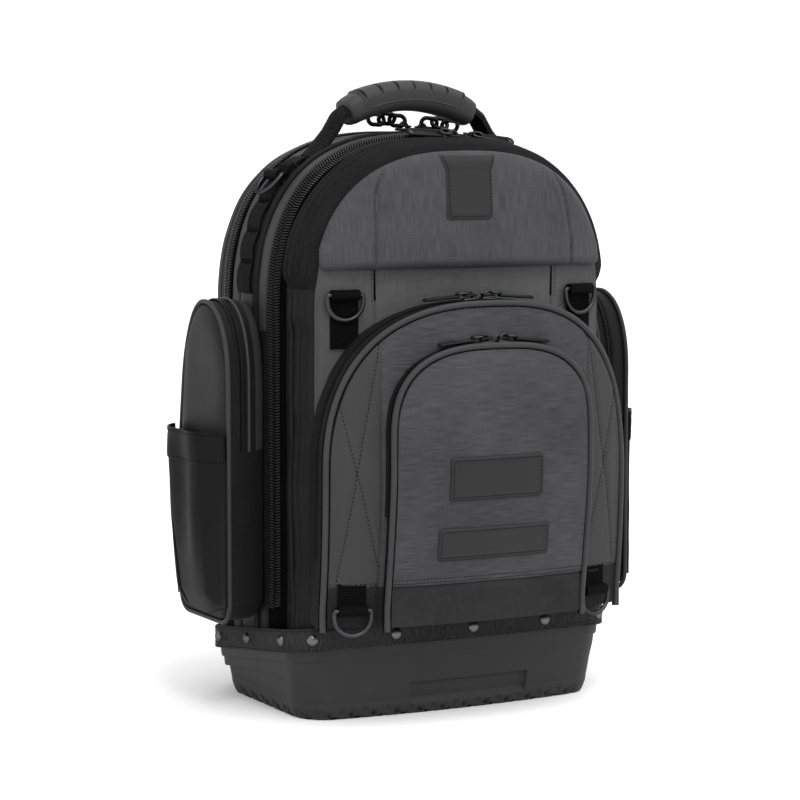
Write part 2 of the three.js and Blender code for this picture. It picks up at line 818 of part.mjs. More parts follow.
// A webbing tab folded round the bar, with a tail; up turns the tail above the bar.
function tabGeometry(tail, up) {
  const bore = RING_WIRE_RADIUS + RING_BORE_GAP;
  const outer = bore + WEB_THICKNESS;
  const half = RING_HALF_WIDTH - RING_WIRE_RADIUS - 2 * RING_BORE_GAP - 1;
  const sign = up ? 1 : -1;
  const loop = new THREE.Shape();
  const turns = steps(8).slice(0, -1);
  turns.forEach((t, i) => {
    const angle = 2 * Math.PI * t;
    const method = i === 0 ? "moveTo" : "lineTo";
    loop[method](outer * Math.cos(angle), outer * Math.sin(angle));
  });
  const hole = new THREE.Path();
  turns.toReversed().forEach((t, i) => {
    const angle = 2 * Math.PI * (t + 1 / 16);
    const method = i === 0 ? "moveTo" : "lineTo";
    hole[method](bore * 1.04 * Math.cos(angle), bore * 1.04 * Math.sin(angle));
  });
  loop.holes.push(hole);
  const fold = new THREE.ExtrudeGeometry(loop, { depth: 2 * half, bevelEnabled: false, steps: 1 })
    .translate(0, 0, -half)
    .rotateY(Math.PI / 2)
    .rotateX(Math.PI / 2);
  const tailThickness = WEB_THICKNESS;
  const strip = new THREE.BoxGeometry(2 * half, tailThickness, tail - bore).translate(
    0,
    bore + tailThickness / 2,
    (sign * (tail + bore)) / 2,
  );
  const root = new THREE.BoxGeometry(2 * half, tailThickness, 2 * bore + 1).translate(
    0,
    bore + tailThickness / 2,
    sign * 0.5,
  );
  return joined([fold, root, strip]);
}

const SEAT_SLACK = 0.3;
const RING_SEAT = RING_WIRE_RADIUS + RING_BORE_GAP + WEB_THICKNESS + GAP;

function ringMount(place) {
  const mount = new THREE.Group();
  mount.position.set(place.x, place.y, place.z);
  mount.rotation.set(place.pitch ?? 0, place.roll ?? 0, place.turn ?? 0, "ZYX");
  pack.add(mount);
  return mount;
}

const bodySlope = (x) => {
  const step = 1;
  const rise = archTop(BODY_ARCH, x + step) - archTop(BODY_ARCH, x - step);
  return Math.atan2(rise, 2 * step);
};

function addRings() {
  for (const [side, sign] of [["left", -1], ["right", 1]]) {
    const upperX = sign * UPPER_RING.x;
    const upperTurn = Math.atan((2 * FRONT_BOW * upperX) / BODY_HALF_WIDTH ** 2);
    const upper = ringMount({
      x: upperX,
      y: frontFace(upperX) - RING_SEAT - SEAT_SLACK,
      z: UPPER_RING.z,
      turn: upperTurn,
    });
    addPiece(`upper_tab_${side}`, tabGeometry(TAB_TAIL, false), "web", upper);
    addPiece(`upper_ring_${side}`, ringGeometry(), "metal", upper);

    const lowerX = sign * LOWER_RING.x;
    const lowerTurn = Math.atan((2 * BIG_BOW * lowerX) / BIG_HALF_WIDTH ** 2);
    const lower = ringMount({
      x: lowerX,
      y: bigFace(lowerX, TOE_TOP) - RING_SEAT - SEAT_SLACK,
      z: LOWER_RING.z,
      turn: lowerTurn,
    });
    addPiece(`lower_tab_${side}`, tabGeometry(TOE_TOP - LOWER_RING.z, true), "web", lower);
    addPiece(`lower_ring_${side}`, ringGeometry(), "metal", lower);

    const slope = bodySlope(sign * SIDE_RING_X);
    const seat = RING_SEAT + WEB_THICKNESS + SIDE_SWELL + 2 * GAP;
    const sideRing = ringMount({
      x: sign * SIDE_RING_X - Math.sin(slope) * seat,
      y: WEB_Y,
      z: archTop(BODY_ARCH, SIDE_RING_X) + Math.cos(slope) * seat,
      turn: (sign * Math.PI) / 2,
      pitch: 0,
      roll: 0,
    });
    const lean = new THREE.Group();
    lean.rotation.x = -(Math.PI / 2 - Math.abs(slope));
    sideRing.add(lean);
    addPiece(`side_tab_${side}`, tabGeometry(TAB_TAIL * 0.4, true), "web", lean);
    addPiece(`side_ring_${side}`, ringGeometry(), "metal", lean);
  }
}

// Webbing on the body, handle and grip

// The part of the body's arch between two heights or widths, as left-hand points.
function sideWebbing(sign) {
  const path = archPath({
    ...insetArch(BODY_ARCH, -GAP - SIDE_SWELL),
    foot: WEB_LOW - 20,
    arcSteps: 40,
  }).filter(([x, z]) => x < -HANDLE_FOOT_X - 3 * WEB_THICKNESS && z > WEB_LOW);
  const half = WEB_WIDTH / 2;
  return loft(
    path.map(([x, z], i) => {
      const [ax, az] = path[Math.max(0, i - 1)];
      const [bx, bz] = path[Math.min(path.length - 1, i + 1)];
      const length = Math.hypot(bx - ax, bz - az);
      const [nx, nz] = [-(bz - az) / length, (bx - ax) / length];
      const at = (lift, y) => [-sign * (x + nx * lift), WEB_Y + y, z + nz * lift];
      return [
        at(0, -half),
        at(0, half),
        at(WEB_THICKNESS, half),
        at(WEB_THICKNESS, -half),
      ];
    }),
  );
}

function handleStrap(sign) {
  const footZ = archTop(BODY_ARCH, HANDLE_FOOT_X) + SIDE_SWELL + GAP;
  const foot = new THREE.Vector2(HANDLE_FOOT_X, footZ);
  const top = new THREE.Vector2(GRIP_HALF_SPAN + GAP, GRIP_END_Z);
  const half = WEB_WIDTH / 2;
  const rows = [
    { x: foot.x + 4, z: foot.y - 2.6 },
    { x: foot.x - 3, z: foot.y + 5 },
    { x: lerp(foot.x, top.x, 0.55), z: lerp(foot.y, top.y, 0.6) },
    { x: top.x, z: top.y },
  ];
  return loft(
    rows.map(({ x, z }) => {
      const at = (lift, y) => [sign * (x + lift), WEB_Y + y, z + lift * 0.4];
      return [
        at(0, -half),
        at(0, half),
        at(WEB_THICKNESS * 1.5, half * 0.95),
        at(WEB_THICKNESS * 1.5, -half * 0.95),
      ];
    }),
  );
}

// Each row is a section along the grip: its place, its size, and whether a rib stands there.
function handleGrip() {
  const ribs = 8;
  const ends = [
    { t: -1, size: 0.72 },
    { t: -0.94, size: 0.95 },
    { t: -0.72, size: 1 },
  ];
  const middle = steps(2 * ribs).map((share, i) => ({
    t: lerp(-0.6, 0.6, share),
    size: 1,
    rib: i % 2,
  }));
  const rows = [...ends, ...middle, ...ends.toReversed().map(({ t, size }) => ({ t: -t, size }))];
  const sides = 12;
  return loft(
    rows.map(({ t, size, rib = 0 }) => {
      const x = t * GRIP_HALF_SPAN;
      const z = GRIP_END_Z + GRIP_RISE * (1 - t * t);
      const lean = Math.atan((2 * GRIP_RISE * t) / GRIP_HALF_SPAN);
      return steps(sides)
        .slice(0, -1)
        .map((turn) => {
          const angle = 2 * Math.PI * (turn + 0.5 / sides);
          const upper = Math.sin(angle) > 0 ? rib * GRIP_RIB : 0;
          const high = (size * GRIP_HEIGHT * Math.sin(angle)) / 2 + Math.sin(angle) * upper;
          const wide = (size * GRIP_WIDTH * Math.cos(angle)) / 2;
          return [x + high * Math.sin(lean), WEB_Y + wide, z + high * Math.cos(lean)];
        });
    }),
  );
}

// Side pockets: a cup open towards the body, in the plane of y and z

const SIDE_START_X = BODY_HALF_WIDTH + SIDE_SWELL + GAP;
const SIDE_OUTER_X = SIDE_START_X + SIDE_REACH;

// Each row is a loop of the pocket: reach from the body, how far its edges have gone from
// the seam to the face, and inset.
const SIDE_LOOPS = [
  { reach: 0, lean: 0, inset: 0 },
  { reach: 0.35, lean: 0.5, inset: -1 },
  { reach: 0.93, lean: 0.98, inset: 0 },
  { reach: 1, lean: 1, inset: 5 },
  { reach: 1 + SIDE_CROWN / SIDE_REACH, lean: 1, inset: 22 },
];

const sideFront = (lean) => lerp(SIDE_SEAM_FRONT, SIDE_FACE_FRONT, lean);
const sideBack = (lean) => lerp(SIDE_SEAM_BACK, SIDE_FACE_BACK, lean);

function sideLoop(sign, { reach, lean, inset }, wall = 0) {
  const halfWidth = (sideBack(lean) - sideFront(lean)) / 2 - inset - wall;
  const middleY = (sideBack(lean) + sideFront(lean)) / 2;
  const corner = Math.min(12, halfWidth * 0.5);
  const foot = SIDE_BOTTOM + inset + wall;
  const path = archPath({
    halfWidth,
    foot: foot + corner,
    shoulder: SIDE_SHOULDER,
    top: SIDE_TOP - inset - wall,
    roundness: SIDE_ROUNDNESS,
    legSteps: 2,
    arcSteps: 12,
  });
  const low = [
    [halfWidth - corner * 0.35, foot + corner * 0.35],
    [halfWidth - corner, foot],
    [-halfWidth + corner, foot],
    [-halfWidth + corner * 0.35, foot + corner * 0.35],
  ];
  return [...path, ...low].map(([along, z]) => [
    sign * (SIDE_START_X + reach * SIDE_REACH - (reach > 0.9 ? wall : 0)),
    middleY + along,
    z,
  ]);
}

function sidePocket(sign) {
  const outer = SIDE_LOOPS.map((row) => sideLoop(sign, row));
  const inner = [SIDE_LOOPS[0], SIDE_LOOPS[2], SIDE_LOOPS[4]].map((row) =>
    sideLoop(sign, row, POCKET_CLOTH),
  );
  return cup(outer, inner, ([, y, z]) => [y, z]);
}

function sidePiping(sign) {
  const reach = GAP + PIPING_RADIUS * 0.75;
  const loop = sideLoop(sign, { reach: 0.965, lean: 1, inset: -reach });
  const radius = PIPING_RADIUS * 0.75;
  const centres = loop.map((p) => new THREE.Vector3(...p));
  return loft(
    centres.map((centre, i) => {
      const before = centres[(i + centres.length - 1) % centres.length];
      const after = centres[(i + 1) % centres.length];
      const along = after.clone().sub(before).normalize();
      const out = new THREE.Vector3(1, 0, 0).cross(along);
      return steps(6)
        .slice(0, -1)
        .map((t) => {
          const angle = 2 * Math.PI * t;
          const point = centre.clone().addScaledVector(out, radius * Math.cos(angle));
          point.x += radius * Math.sin(angle);
          return point.toArray();
        });
    }),
    true,
  );
}

// The open sleeve: a slack sheet over the lower half of the pocket's outer face.
function sleeve(sign) {
  const halfFace = (SIDE_FACE_BACK - SIDE_FACE_FRONT) / 2;
  const half = halfFace - 2 * PIPING_RADIUS;
  const low = SIDE_BOTTOM + 12;
  const hemStart = 1 - SLEEVE_HEM / (SLEEVE_TOP - low);
  const crownAt = (edge) => SIDE_CROWN * THREE.MathUtils.clamp((edge - 5) / 17, 0, 1);
  return sheet(
    steps(8).map((t) => lerp(-1, 1, t)),
    6,
    (u, t) => {
      const bulge = SLEEVE_BULGE * (1 - u * u) * Math.sqrt(t);
      const hem = t > hemStart ? 1 : 0;
      const z = lerp(low, SLEEVE_TOP, t);
      const crown = crownAt(Math.min(halfFace - Math.abs(u) * half, z - SIDE_BOTTOM));
      const x = SIDE_OUTER_X + crown + 2 * GAP + bulge;
      const y = (SIDE_FACE_BACK + SIDE_FACE_FRONT) / 2 + u * half;
      return [
        [sign * (x + POCKET_CLOTH - 0.5 + hem), y, z],
        [sign * x, y, z],
      ];
    },
  );
}

// Back: padded panel, shoulder straps, buckles and lower webbing

const BACK_FACE = BACK_SEAT + BACK_THICKNESS;

function backPanel() {
  const arch = {
    halfWidth: BACK_HALF_WIDTH,
    shoulder: BODY_SHOULDER,
    top: BACK_TOP,
    roundness: BODY_ROUNDNESS,
  };
  const lift = (x) => 26 * Math.abs(x / BACK_HALF_WIDTH) ** 4;
  return sheet(archColumns(arch, 12), 6, ({ x, top }, t) => {
    const share = (1 - Math.cos(Math.PI * t)) / 2;
    const z = lerp(BACK_BOTTOM + lift(x), top, share);
    const rowEdge = 12 * Math.min(share, 1 - share);
    const edge = Math.min(1, 4 * (1 - (x / BACK_HALF_WIDTH) ** 2), rowEdge);
    const thickness = BACK_THICKNESS * (0.4 + 0.6 * Math.sqrt(Math.max(0, edge)));
    return [
      [x, BACK_SEAT + thickness, z],
      [x, BACK_SEAT, z],
    ];
  });
}

const STRAP_SEAT_Y = BACK_FACE + GAP;

// Middle line of a shoulder strap: x, y and z at a share of its length.
function strapLine(t) {
  const ease = t * t * (3 - 2 * t);
  return {
    x: lerp(STRAP_TOP_X, STRAP_END_X, ease),
    y: STRAP_SEAT_Y + STRAP_BOW * Math.sin(Math.PI * t * 0.9) ** 0.8,
    z: lerp(STRAP_TOP, STRAP_END, t),
  };
}

function shoulderStrap(sign) {
  return loft(
    steps(12).map((t) => {
      const { x, y, z } = strapLine(t);
      const half = (STRAP_WIDTH / 2) * (t > 0.85 ? lerp(1, 0.6, (t - 0.85) / 0.15) : 1);
      const ends = Math.min(1, 0.45 + 4 * t, 0.45 + 4 * (1 - t));
      const thick = STRAP_THICKNESS * ends;
      return [
        [sign * (x - half), y + thick * 0.25, z],
        [sign * (x - half * 0.8), y, z],
        [sign * (x + half * 0.8), y, z],
        [sign * (x + half), y + thick * 0.25, z],
        [sign * (x + half), y + thick * 0.75, z],
        [sign * (x + half * 0.8), y + thick, z],
        [sign * (x - half * 0.8), y + thick, z],
        [sign * (x - half), y + thick * 0.75, z],
      ];
    }),
  );
}

function buckle(sign) {
  const { x, y } = strapLine(1);
  return new THREE.BoxGeometry(BUCKLE_WIDTH, BUCKLE_THICKNESS, BUCKLE_LENGTH).translate(
    sign * x,
    y + BUCKLE_THICKNESS / 2,
    STRAP_END - GAP - BUCKLE_LENGTH / 2,
  );
}

function lowerWebbing(sign) {
  const start = strapLine(1);
  const half = WEB_WIDTH / 2;
  const topZ = STRAP_END - BUCKLE_LENGTH - 2 * GAP;
  const footY = BACK_FACE + GAP;
  return loft(
    steps(4).map((t) => {
      const x = lerp(start.x, LOWER_WEB_FOOT_X, t);
      const y = lerp(start.y + 2, footY, t ** 0.7);
      const z = lerp(topZ, LOWER_WEB_FOOT_Z, t);
      return [
        [sign * (x - half), y, z],
        [sign * (x + half), y, z],
        [sign * (x + half), y + WEB_THICKNESS, z],
        [sign * (x - half), y + WEB_THICKNESS, z],
      ];
    }),
  );
}

// Zip pulls: a slider with its bridge and a flat bar, pointing along +X from the slider

function pullGeometry() {
  const slider = new THREE.BoxGeometry(SLIDER.length, SLIDER.width, SLIDER.height);
  slider.translate(0, 0, SLIDER.height / 2);
  const bridge = new THREE.BoxGeometry(SLIDER.length * 0.5, SLIDER.width * 0.4, 4).translate(
    SLIDER.length * 0.25,
    0,
    SLIDER.height + 1,
  );
  const bar = new THREE.BoxGeometry(PULL.length, PULL.width, PULL.thickness).translate(
    SLIDER.length * 0.4 + PULL.length / 2,
    0,
    SLIDER.height + 1,
  );
  return joined([slider, bridge, bar]);
}

// A pull lies on its zip: out is the lift off the cloth, and along the way its bar points.
function addPull(name, at, along, out) {
  const mesh = addPiece(name, pullGeometry(), "metal");
  const x = along.clone().normalize();
  const z = out.clone().normalize();
  const y = z.clone().cross(x);
  mesh.applyMatrix4(new THREE.Matrix4().makeBasis(x, y, z).setPosition(at));
}

function addPulls() {
  const reach = SLIDER.length * 0.6;
  const zips = [
    { name: "front_zip", zip: ZIPS.front, middle: 30, spread: 0 },
    { name: "rear_zip", zip: ZIPS.rear, middle: 30, spread: 22 },
  ];
  for (const { name, zip, middle, spread } of zips) {
    const [a, b] = zip.edges;
    const normal = zipNormal(zip);
    const arch = insetArch(BODY_ARCH, (a.inset + b.inset) / 2);
    for (const [side, sign] of [["left", -1], ["right", 1]]) {
      const x = middle + sign * (reach + spread);
      const slope = bodySlope(x);
      const along = new THREE.Vector3(sign * Math.cos(slope), 0, sign * Math.sin(slope));
      const out = new THREE.Vector3(
        normal.inset * Math.sin(slope),
        normal.y,
        -normal.inset * Math.cos(slope),
      );
      const seat = new THREE.Vector3(x, (a.y + b.y) / 2, archTop(arch, x));
      seat.addScaledVector(out, ZIP_HEIGHT + 1.8 * GAP);
      addPull(`${name}_pull_${side}`, seat, along, out);
    }
  }
  const pockets = [
    { name: "big_pocket", arch: BIG_ARCH, seat: (x) => frontFace(x), face: bigFace },
    { name: "small_pocket", arch: SMALL_ARCH, seat: bigFace, face: smallFace },
  ];
  for (const { name, arch, face, seat } of pockets) {
    for (const [side, sign] of [["left", -1], ["right", 1]]) {
      const x = sign * reach;
      const endZ = archTop(arch, x + sign * PULL.length);
      const z = archTop(arch, x) + GAP;
      const y = (face(x, arch.top) + PIPING_RADIUS + seat(x, arch.top)) / 2;
      const along = new THREE.Vector3(sign * PULL.length, 0, endZ - z);
      addPull(
        `${name}_pull_${side}`,
        new THREE.Vector3(x, y, z + GAP),
        along,
        new THREE.Vector3(-along.z * sign, 0, along.x * sign),
      );
    }
  }
}

// Assembly

addPiece("rear_gusset", gusset(REAR_DEPTH, 1), "cloth");
addPiece("front_gusset", gusset(FRONT_DEPTH, -1), "rim");
addPiece("middle_panel", middlePanel(), "darkCloth");
addPiece("front_panel", frontPanel(), "cloth");
addPiece("hood_panel", hoodPanel(), "cloth");
addPiece("hood_tab", hoodTab(), "leather");
addPiece("front_zip", bodyZip(ZIPS.front), "web");
addPiece("rear_zip", bodyZip(ZIPS.rear), "web");

const panelSeat = (x) => frontFace(x) - GAP;
const bigSeat = (x, z) => bigFace(x, z) - 3 * GAP;
addPiece("big_pocket_gusset", pocketGusset(BIG_ARCH, panelSeat, bigFace), "darkCloth");
addPiece(
  "big_pocket_face",
  pocketPanel(BIG_ARCH, bigFace, POCKET_FOOT, BIG_TOP, 16, 6),
  "cloth",
);
addPiece("big_pocket_piping", pocketPiping(BIG_ARCH, bigFace), "piping");
addPiece("small_pocket_gusset", pocketGusset(SMALL_ARCH, bigSeat, smallFace), "darkCloth");
addPiece(
  "small_pocket_face",
  pocketPanel(SMALL_ARCH, smallFace, TOE_TOP, SMALL_TOP, 14, 4),
  "cloth",
);
addPiece(
  "small_pocket_toe",
  pocketPanel(SMALL_ARCH, smallFace, POCKET_FOOT, TOE_TOP - GAP, 14, 2),
  "darkCloth",
);
addPiece("small_pocket_piping", pocketPiping(SMALL_ARCH, smallFace), "piping");
addPiece("upper_patch", patch(UPPER_PATCH), "leather");
addPiece("lower_patch", patch(LOWER_PATCH), "leather");

addPiece("base_tray", baseTray(), "rubber");
addPiece("base_band", baseBand(), "web");
addPiece("handle_grip", handleGrip(), "rubber");
addPiece("back_panel", backPanel(), "foam");
for (const [side, sign] of [["left", -1], ["right", 1]]) {
  addPiece(`side_webbing_${side}`, sideWebbing(sign), "web");
  addPiece(`handle_strap_${side}`, handleStrap(sign), "web");
  addPiece(`side_pocket_${side}`, sidePocket(sign), "darkCloth");
  addPiece(`side_piping_${side}`, sidePiping(sign), "piping");
  addPiece(`sleeve_${side}`, sleeve(sign), "darkCloth");
  addPiece(`shoulder_strap_${side}`, shoulderStrap(sign), "foam");
  addPiece(`strap_buckle_${side}`, buckle(sign), "metal");
  addPiece(`lower_webbing_${side}`, lowerWebbing(sign), "web");
}
addRings();
addPulls();

// The origin is under the middle of the pack, on the floor.
const bounds = new THREE.Box3().setFromObject(pack, true);
const middle = bounds.getCenter(new THREE.Vector3());
pack.position.set(-middle.x, -middle.y, -bounds.min.z);

export default pack;
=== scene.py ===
"""Looks for the tool backpack: cloth, webbing, zips, moulded base, rings and straps.

Lengths in the pattern are millimetres, with X to the right, -Y out of the front, Z up.
"""
import json
import math

import bmesh
import bpy
import numpy as np
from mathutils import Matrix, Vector


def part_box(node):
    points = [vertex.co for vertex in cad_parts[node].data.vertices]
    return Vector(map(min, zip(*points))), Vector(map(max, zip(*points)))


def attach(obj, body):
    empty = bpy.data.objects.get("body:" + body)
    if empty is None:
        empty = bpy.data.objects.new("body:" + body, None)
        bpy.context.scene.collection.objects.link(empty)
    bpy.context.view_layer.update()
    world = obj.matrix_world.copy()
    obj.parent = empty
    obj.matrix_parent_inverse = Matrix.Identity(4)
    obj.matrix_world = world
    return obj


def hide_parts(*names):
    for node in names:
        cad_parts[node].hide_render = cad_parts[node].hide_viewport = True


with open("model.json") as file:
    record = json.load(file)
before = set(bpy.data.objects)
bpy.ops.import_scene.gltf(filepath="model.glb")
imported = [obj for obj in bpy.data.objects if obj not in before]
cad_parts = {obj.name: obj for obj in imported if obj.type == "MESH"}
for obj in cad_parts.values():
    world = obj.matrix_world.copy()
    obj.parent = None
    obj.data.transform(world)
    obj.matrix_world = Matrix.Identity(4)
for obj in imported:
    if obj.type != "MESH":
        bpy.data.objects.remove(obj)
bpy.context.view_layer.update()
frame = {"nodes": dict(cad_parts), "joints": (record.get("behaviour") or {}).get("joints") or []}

# Sizes of the pattern

BODY = dict(half=150.0, shoulder=330.0, top=485.0, power=2.6)
BIG = dict(half=141.0, shoulder=198.0, top=347.0, power=2.6)
SMALL = dict(half=93.0, shoulder=235.0, top=313.0, power=2.8)
SEAM_Y = -21.0
FRONT_Y = -100.0
BACK_Y = 86.0
FRONT_BOW = 13.0
EDGE_TURN = 26.0
REAR_TURN = 36.0
RIM_FRONT = 60.0
RIM_SLOPE = 0.131
HOOD_LOW = 374.0
HOOD = dict(half=137.6, shoulder=330.0, top=471.0, power=2.6)
HOOD_SHIFT = 1.0
WEB_Y = -3.0
REAR_ZIP_Y = 35.0
WEB = 25.0
POCKET_FOOT = 84.5
TOE_TOP = 118.0
PIPING_RADIUS = 2.6
PULL_GAP = 9.0
STRAP_TOP = 412.0
STRAP_FOOT = 172.0
TRAY_TAPER = 12.0
SHIFT_Y = (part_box("middle_panel")[0].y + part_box("middle_panel")[1].y) * 500 - SEAM_Y

noise_table = np.random.RandomState(7).rand(24, 24, 24)


def lerp(a, b, t):
    return a + (b - a) * t


def smooth(t):
    t = np.clip(t, 0, 1)
    return t * t * (3 - 2 * t)


def bump(x, centre, width):
    return np.exp(-(((x - centre) / width) ** 2))


def rim_height(y):
    return RIM_FRONT - RIM_SLOPE * (y - FRONT_Y)


def front_bow(x):
    return FRONT_BOW * np.maximum(0, 1 - (x / BODY["half"]) ** 2)


def front_face(x):
    return FRONT_Y - front_bow(x)


def slack(amount, z):
    return amount * np.clip((210 - z) / 110, 0, 1) ** 1.3


def big_face(x, z):
    lean = 6 * smooth((z - 100) / 160) * np.minimum(1, (x / 141) ** 2)
    return FRONT_Y - 37 - 19 * np.maximum(0, 1 - (x / 141) ** 2) + slack(11, z) + lean


def small_face(x, z):
    return FRONT_Y - 65.5 + 6 * np.minimum(1, (x / 93) ** 2) + slack(12, z)


def drift(points, scale, seed=0):
    """Smooth noise from -1 to 1 at each point, with features about scale millimetres across."""
    q = points / scale + 31.7 * (seed + 1)
    cell = np.floor(q).astype(int)
    f = q - cell
    f = f * f * (3 - 2 * f)
    total = 0
    for dx in (0, 1):
        for dy in (0, 1):
            for dz in (0, 1):
                weight = (
                    (f[..., 0] if dx else 1 - f[..., 0])
                    * (f[..., 1] if dy else 1 - f[..., 1])
                    * (f[..., 2] if dz else 1 - f[..., 2])
                )
                total = total + weight * noise_table[
                    (cell[..., 0] + dx) % 24, (cell[..., 1] + dy) % 24, (cell[..., 2] + dz) % 24
                ]
    return total * 2 - 1


def unit(v):
    return v / np.maximum(1e-9, np.linalg.norm(v, axis=-1, keepdims=True))


def run_along(path):
    """Distance from the start of a path at each of its points."""
    return np.r_[0, np.cumsum(np.linalg.norm(np.diff(path, axis=0), axis=1))]


def resample(path, count):
    """Points spaced evenly along a path."""
    path = np.asarray(path, float)
    run = run_along(path)
    at = np.linspace(0, run[-1], count)
    return np.stack([np.interp(at, run, path[:, k]) for k in range(path.shape[1])], 1)


def length_of(path):
    return float(np.linalg.norm(np.diff(np.asarray(path, float), axis=0), axis=1).sum())


def arch(shape, foot, count, inset=0.0):
    """An arch outline as evenly spaced (x, z) points from the left foot to the right one."""
    half, top = shape["half"] - inset, shape["top"] - inset
    angle = np.linspace(np.pi, 0, 900)
    c, s = np.cos(angle), np.sin(angle)
    x = np.sign(c) * half * np.abs(c) ** (2 / shape["power"])
    z = shape["shoulder"] + (top - shape["shoulder"]) * np.abs(s) ** (2 / shape["power"])
    points = np.stack([x, z], 1)
    if foot < shape["shoulder"]:
        points = np.vstack([[[-half, foot]], points, [[half, foot]]])
    else:
        points = points[points[:, 1] >= foot]
    return resample(points, count)


def arch_top(shape, x, inset=0.0):
    half, top = shape["half"] - inset, shape["top"] - inset
    share = np.clip(np.abs(x) / half, 0, 1)
    rise = (1 - share ** shape["power"]) ** (1 / shape["power"])
    return shape["shoulder"] + (top - shape["shoulder"]) * rise


def outward(path):
    """Unit normals of an (x, z) path that runs clockwise seen from the front."""
    t = unit(np.gradient(path, axis=0))
    return np.stack([-t[:, 1], t[:, 0]], 1)


# Node groups and materials


def in_plane(normal):
    """Normals of an (x, z) path as vectors in space."""
    return np.stack([normal[:, 0], 0 * normal[:, 0], normal[:, 1]], 1)


def signed_power(value, power):
    return np.sign(value) * np.abs(value) ** power


def cloth_across(across, run):
    """Cloth coordinates of a webbing, whose rows go along it."""
    return np.stack(np.meshgrid(across, run, indexing="ij"), -1).transpose(1, 0, 2)


def group(name, inputs, outputs):
    tree = bpy.data.node_groups.new(name, "ShaderNodeTree")
    for label, kind, value in inputs:
        socket = tree.interface.new_socket(label, in_out="INPUT", socket_type=kind)
        if value is not None:
            socket.default_value = value
    for label, kind in outputs:
        tree.interface.new_socket(label, in_out="OUTPUT", socket_type=kind)
    return tree, tree.nodes.new("NodeGroupInput"), tree.nodes.new("NodeGroupOutput")


class Wires:
    """Short hand for making and joining shader nodes."""

    def __init__(self, tree):
        self.tree = tree

    def link(self, value, socket):
        if isinstance(value, bpy.types.NodeSocket):
            self.tree.links.new(value, socket)
        else:
            socket.default_value = value

    def math(self, operation, *values, clamp=False):
        node = self.tree.nodes.new("ShaderNodeMath")
        node.operation = operation
        node.use_clamp = clamp
        for value, socket in zip(values, node.inputs):
            self.link(value, socket)
        return node.outputs[0]

    def times(self, *values, **options):
        return self.math("MULTIPLY", *values, **options)

    def plus(self, *values, **options):
        return self.math("ADD", *values, **options)

    def minus(self, *values, **options):
        return self.math("SUBTRACT", *values, **options)

    def noise(self, vector, scale, detail=2.0, roughness=0.5):
        node = self.tree.nodes.new("ShaderNodeTexNoise")
        self.link(vector, node.inputs["Vector"])
        self.link(scale, node.inputs["Scale"])
        node.inputs["Detail"].default_value = detail
        node.inputs["Roughness"].default_value = roughness
        return node.outputs["Fac"]

    def ramp(self, value, low, high, start=0.0, end=1.0):
        node = self.tree.nodes.new("ShaderNodeMapRange")
        for item, socket in zip((value, low, high, start, end), node.inputs):
            self.link(item, socket)
        return node.outputs[0]

    def mix(self, share, a, b):
        node = self.tree.nodes.new("ShaderNodeMix")
        node.data_type = "RGBA"
        self.link(share, node.inputs["Factor"])
        self.link(a, node.inputs["A"])
        self.link(b, node.inputs["B"])
        return node.outputs["Result"]


def plain_weave_group():
    """Warp and weft that pass over and under each other: their height and a tone per yarn."""
    tree, given, out = group(
        "plain_weave",
        [("Cloth", "NodeSocketVector", None), ("Warp", "NodeSocketFloat", 1.2),
         ("Weft", "NodeSocketFloat", 1.2), ("Rows", "NodeSocketFloat", 0.5)],
        [("Height", "NodeSocketFloat"), ("Tone", "NodeSocketFloat")],
    )
    w = Wires(tree)
    split = tree.nodes.new("ShaderNodeSeparateXYZ")
    w.link(given.outputs["Cloth"], split.inputs[0])
    u = w.math("DIVIDE", split.outputs[0], given.outputs["Warp"])
    v = w.math("DIVIDE", split.outputs[1], given.outputs["Weft"])
    over = w.math("PINGPONG", w.plus(w.math("FLOOR", u), w.math("FLOOR", v)), 1.0)
    warp = w.math("PINGPONG", w.times(w.math("FRACT", u), 2.0), 1.0)
    weft = w.math("PINGPONG", w.times(w.math("FRACT", v), 2.0), 1.0)
    under = w.minus(1.0, over)
    height = w.plus(w.times(warp, over), w.times(weft, under))
    w.link(height, out.inputs["Height"])
    rows = tree.nodes.new("ShaderNodeCombineXYZ")
    w.link(w.times(u, 0.06), rows.inputs[0])
    w.link(w.math("FLOOR", v), rows.inputs[1])
    columns = tree.nodes.new("ShaderNodeCombineXYZ")
    w.link(w.math("FLOOR", u), columns.inputs[0])
    w.link(w.times(v, 0.06), columns.inputs[1])
    streaks = w.math(
        "ADD",
        w.times(w.noise(rows.outputs[0], 1.0, 1.0), given.outputs["Rows"]),
        w.times(w.noise(columns.outputs[0], 1.0, 1.0),
               w.minus(1.0, given.outputs["Rows"])),
    )
    w.link(streaks, out.inputs["Tone"])
    return tree


def cord_rows_group():
    """Fine ribs across a webbing, with a slow change along each rib."""
    tree, given, out = group(
        "webbing_ribs",
        [("Cloth", "NodeSocketVector", None), ("Pitch", "NodeSocketFloat", 1.8),
         ("Row", "NodeSocketFloat", 2.6)],
        [("Height", "NodeSocketFloat"), ("Tone", "NodeSocketFloat")],
    )
    w = Wires(tree)
    split = tree.nodes.new("ShaderNodeSeparateXYZ")
    w.link(given.outputs["Cloth"], split.inputs[0])
    v = w.math("DIVIDE", split.outputs[1], given.outputs["Row"])
    half_step = w.times(w.math("PINGPONG", w.math("FLOOR", v), 1.0), 0.5)
    u = w.plus(w.math("DIVIDE", split.outputs[0], given.outputs["Pitch"]), half_step)
    rib = w.math("PINGPONG", w.times(w.math("FRACT", u), 2.0), 1.0)
    row = w.math("PINGPONG", w.times(w.math("FRACT", v), 2.0), 1.0)
    w.link(w.times(w.math("POWER", rib, 0.6), w.math("POWER", row, 0.35)),
           out.inputs["Height"])
    w.link(w.noise(given.outputs["Cloth"], 0.35, 2.0), out.inputs["Tone"])
    return tree


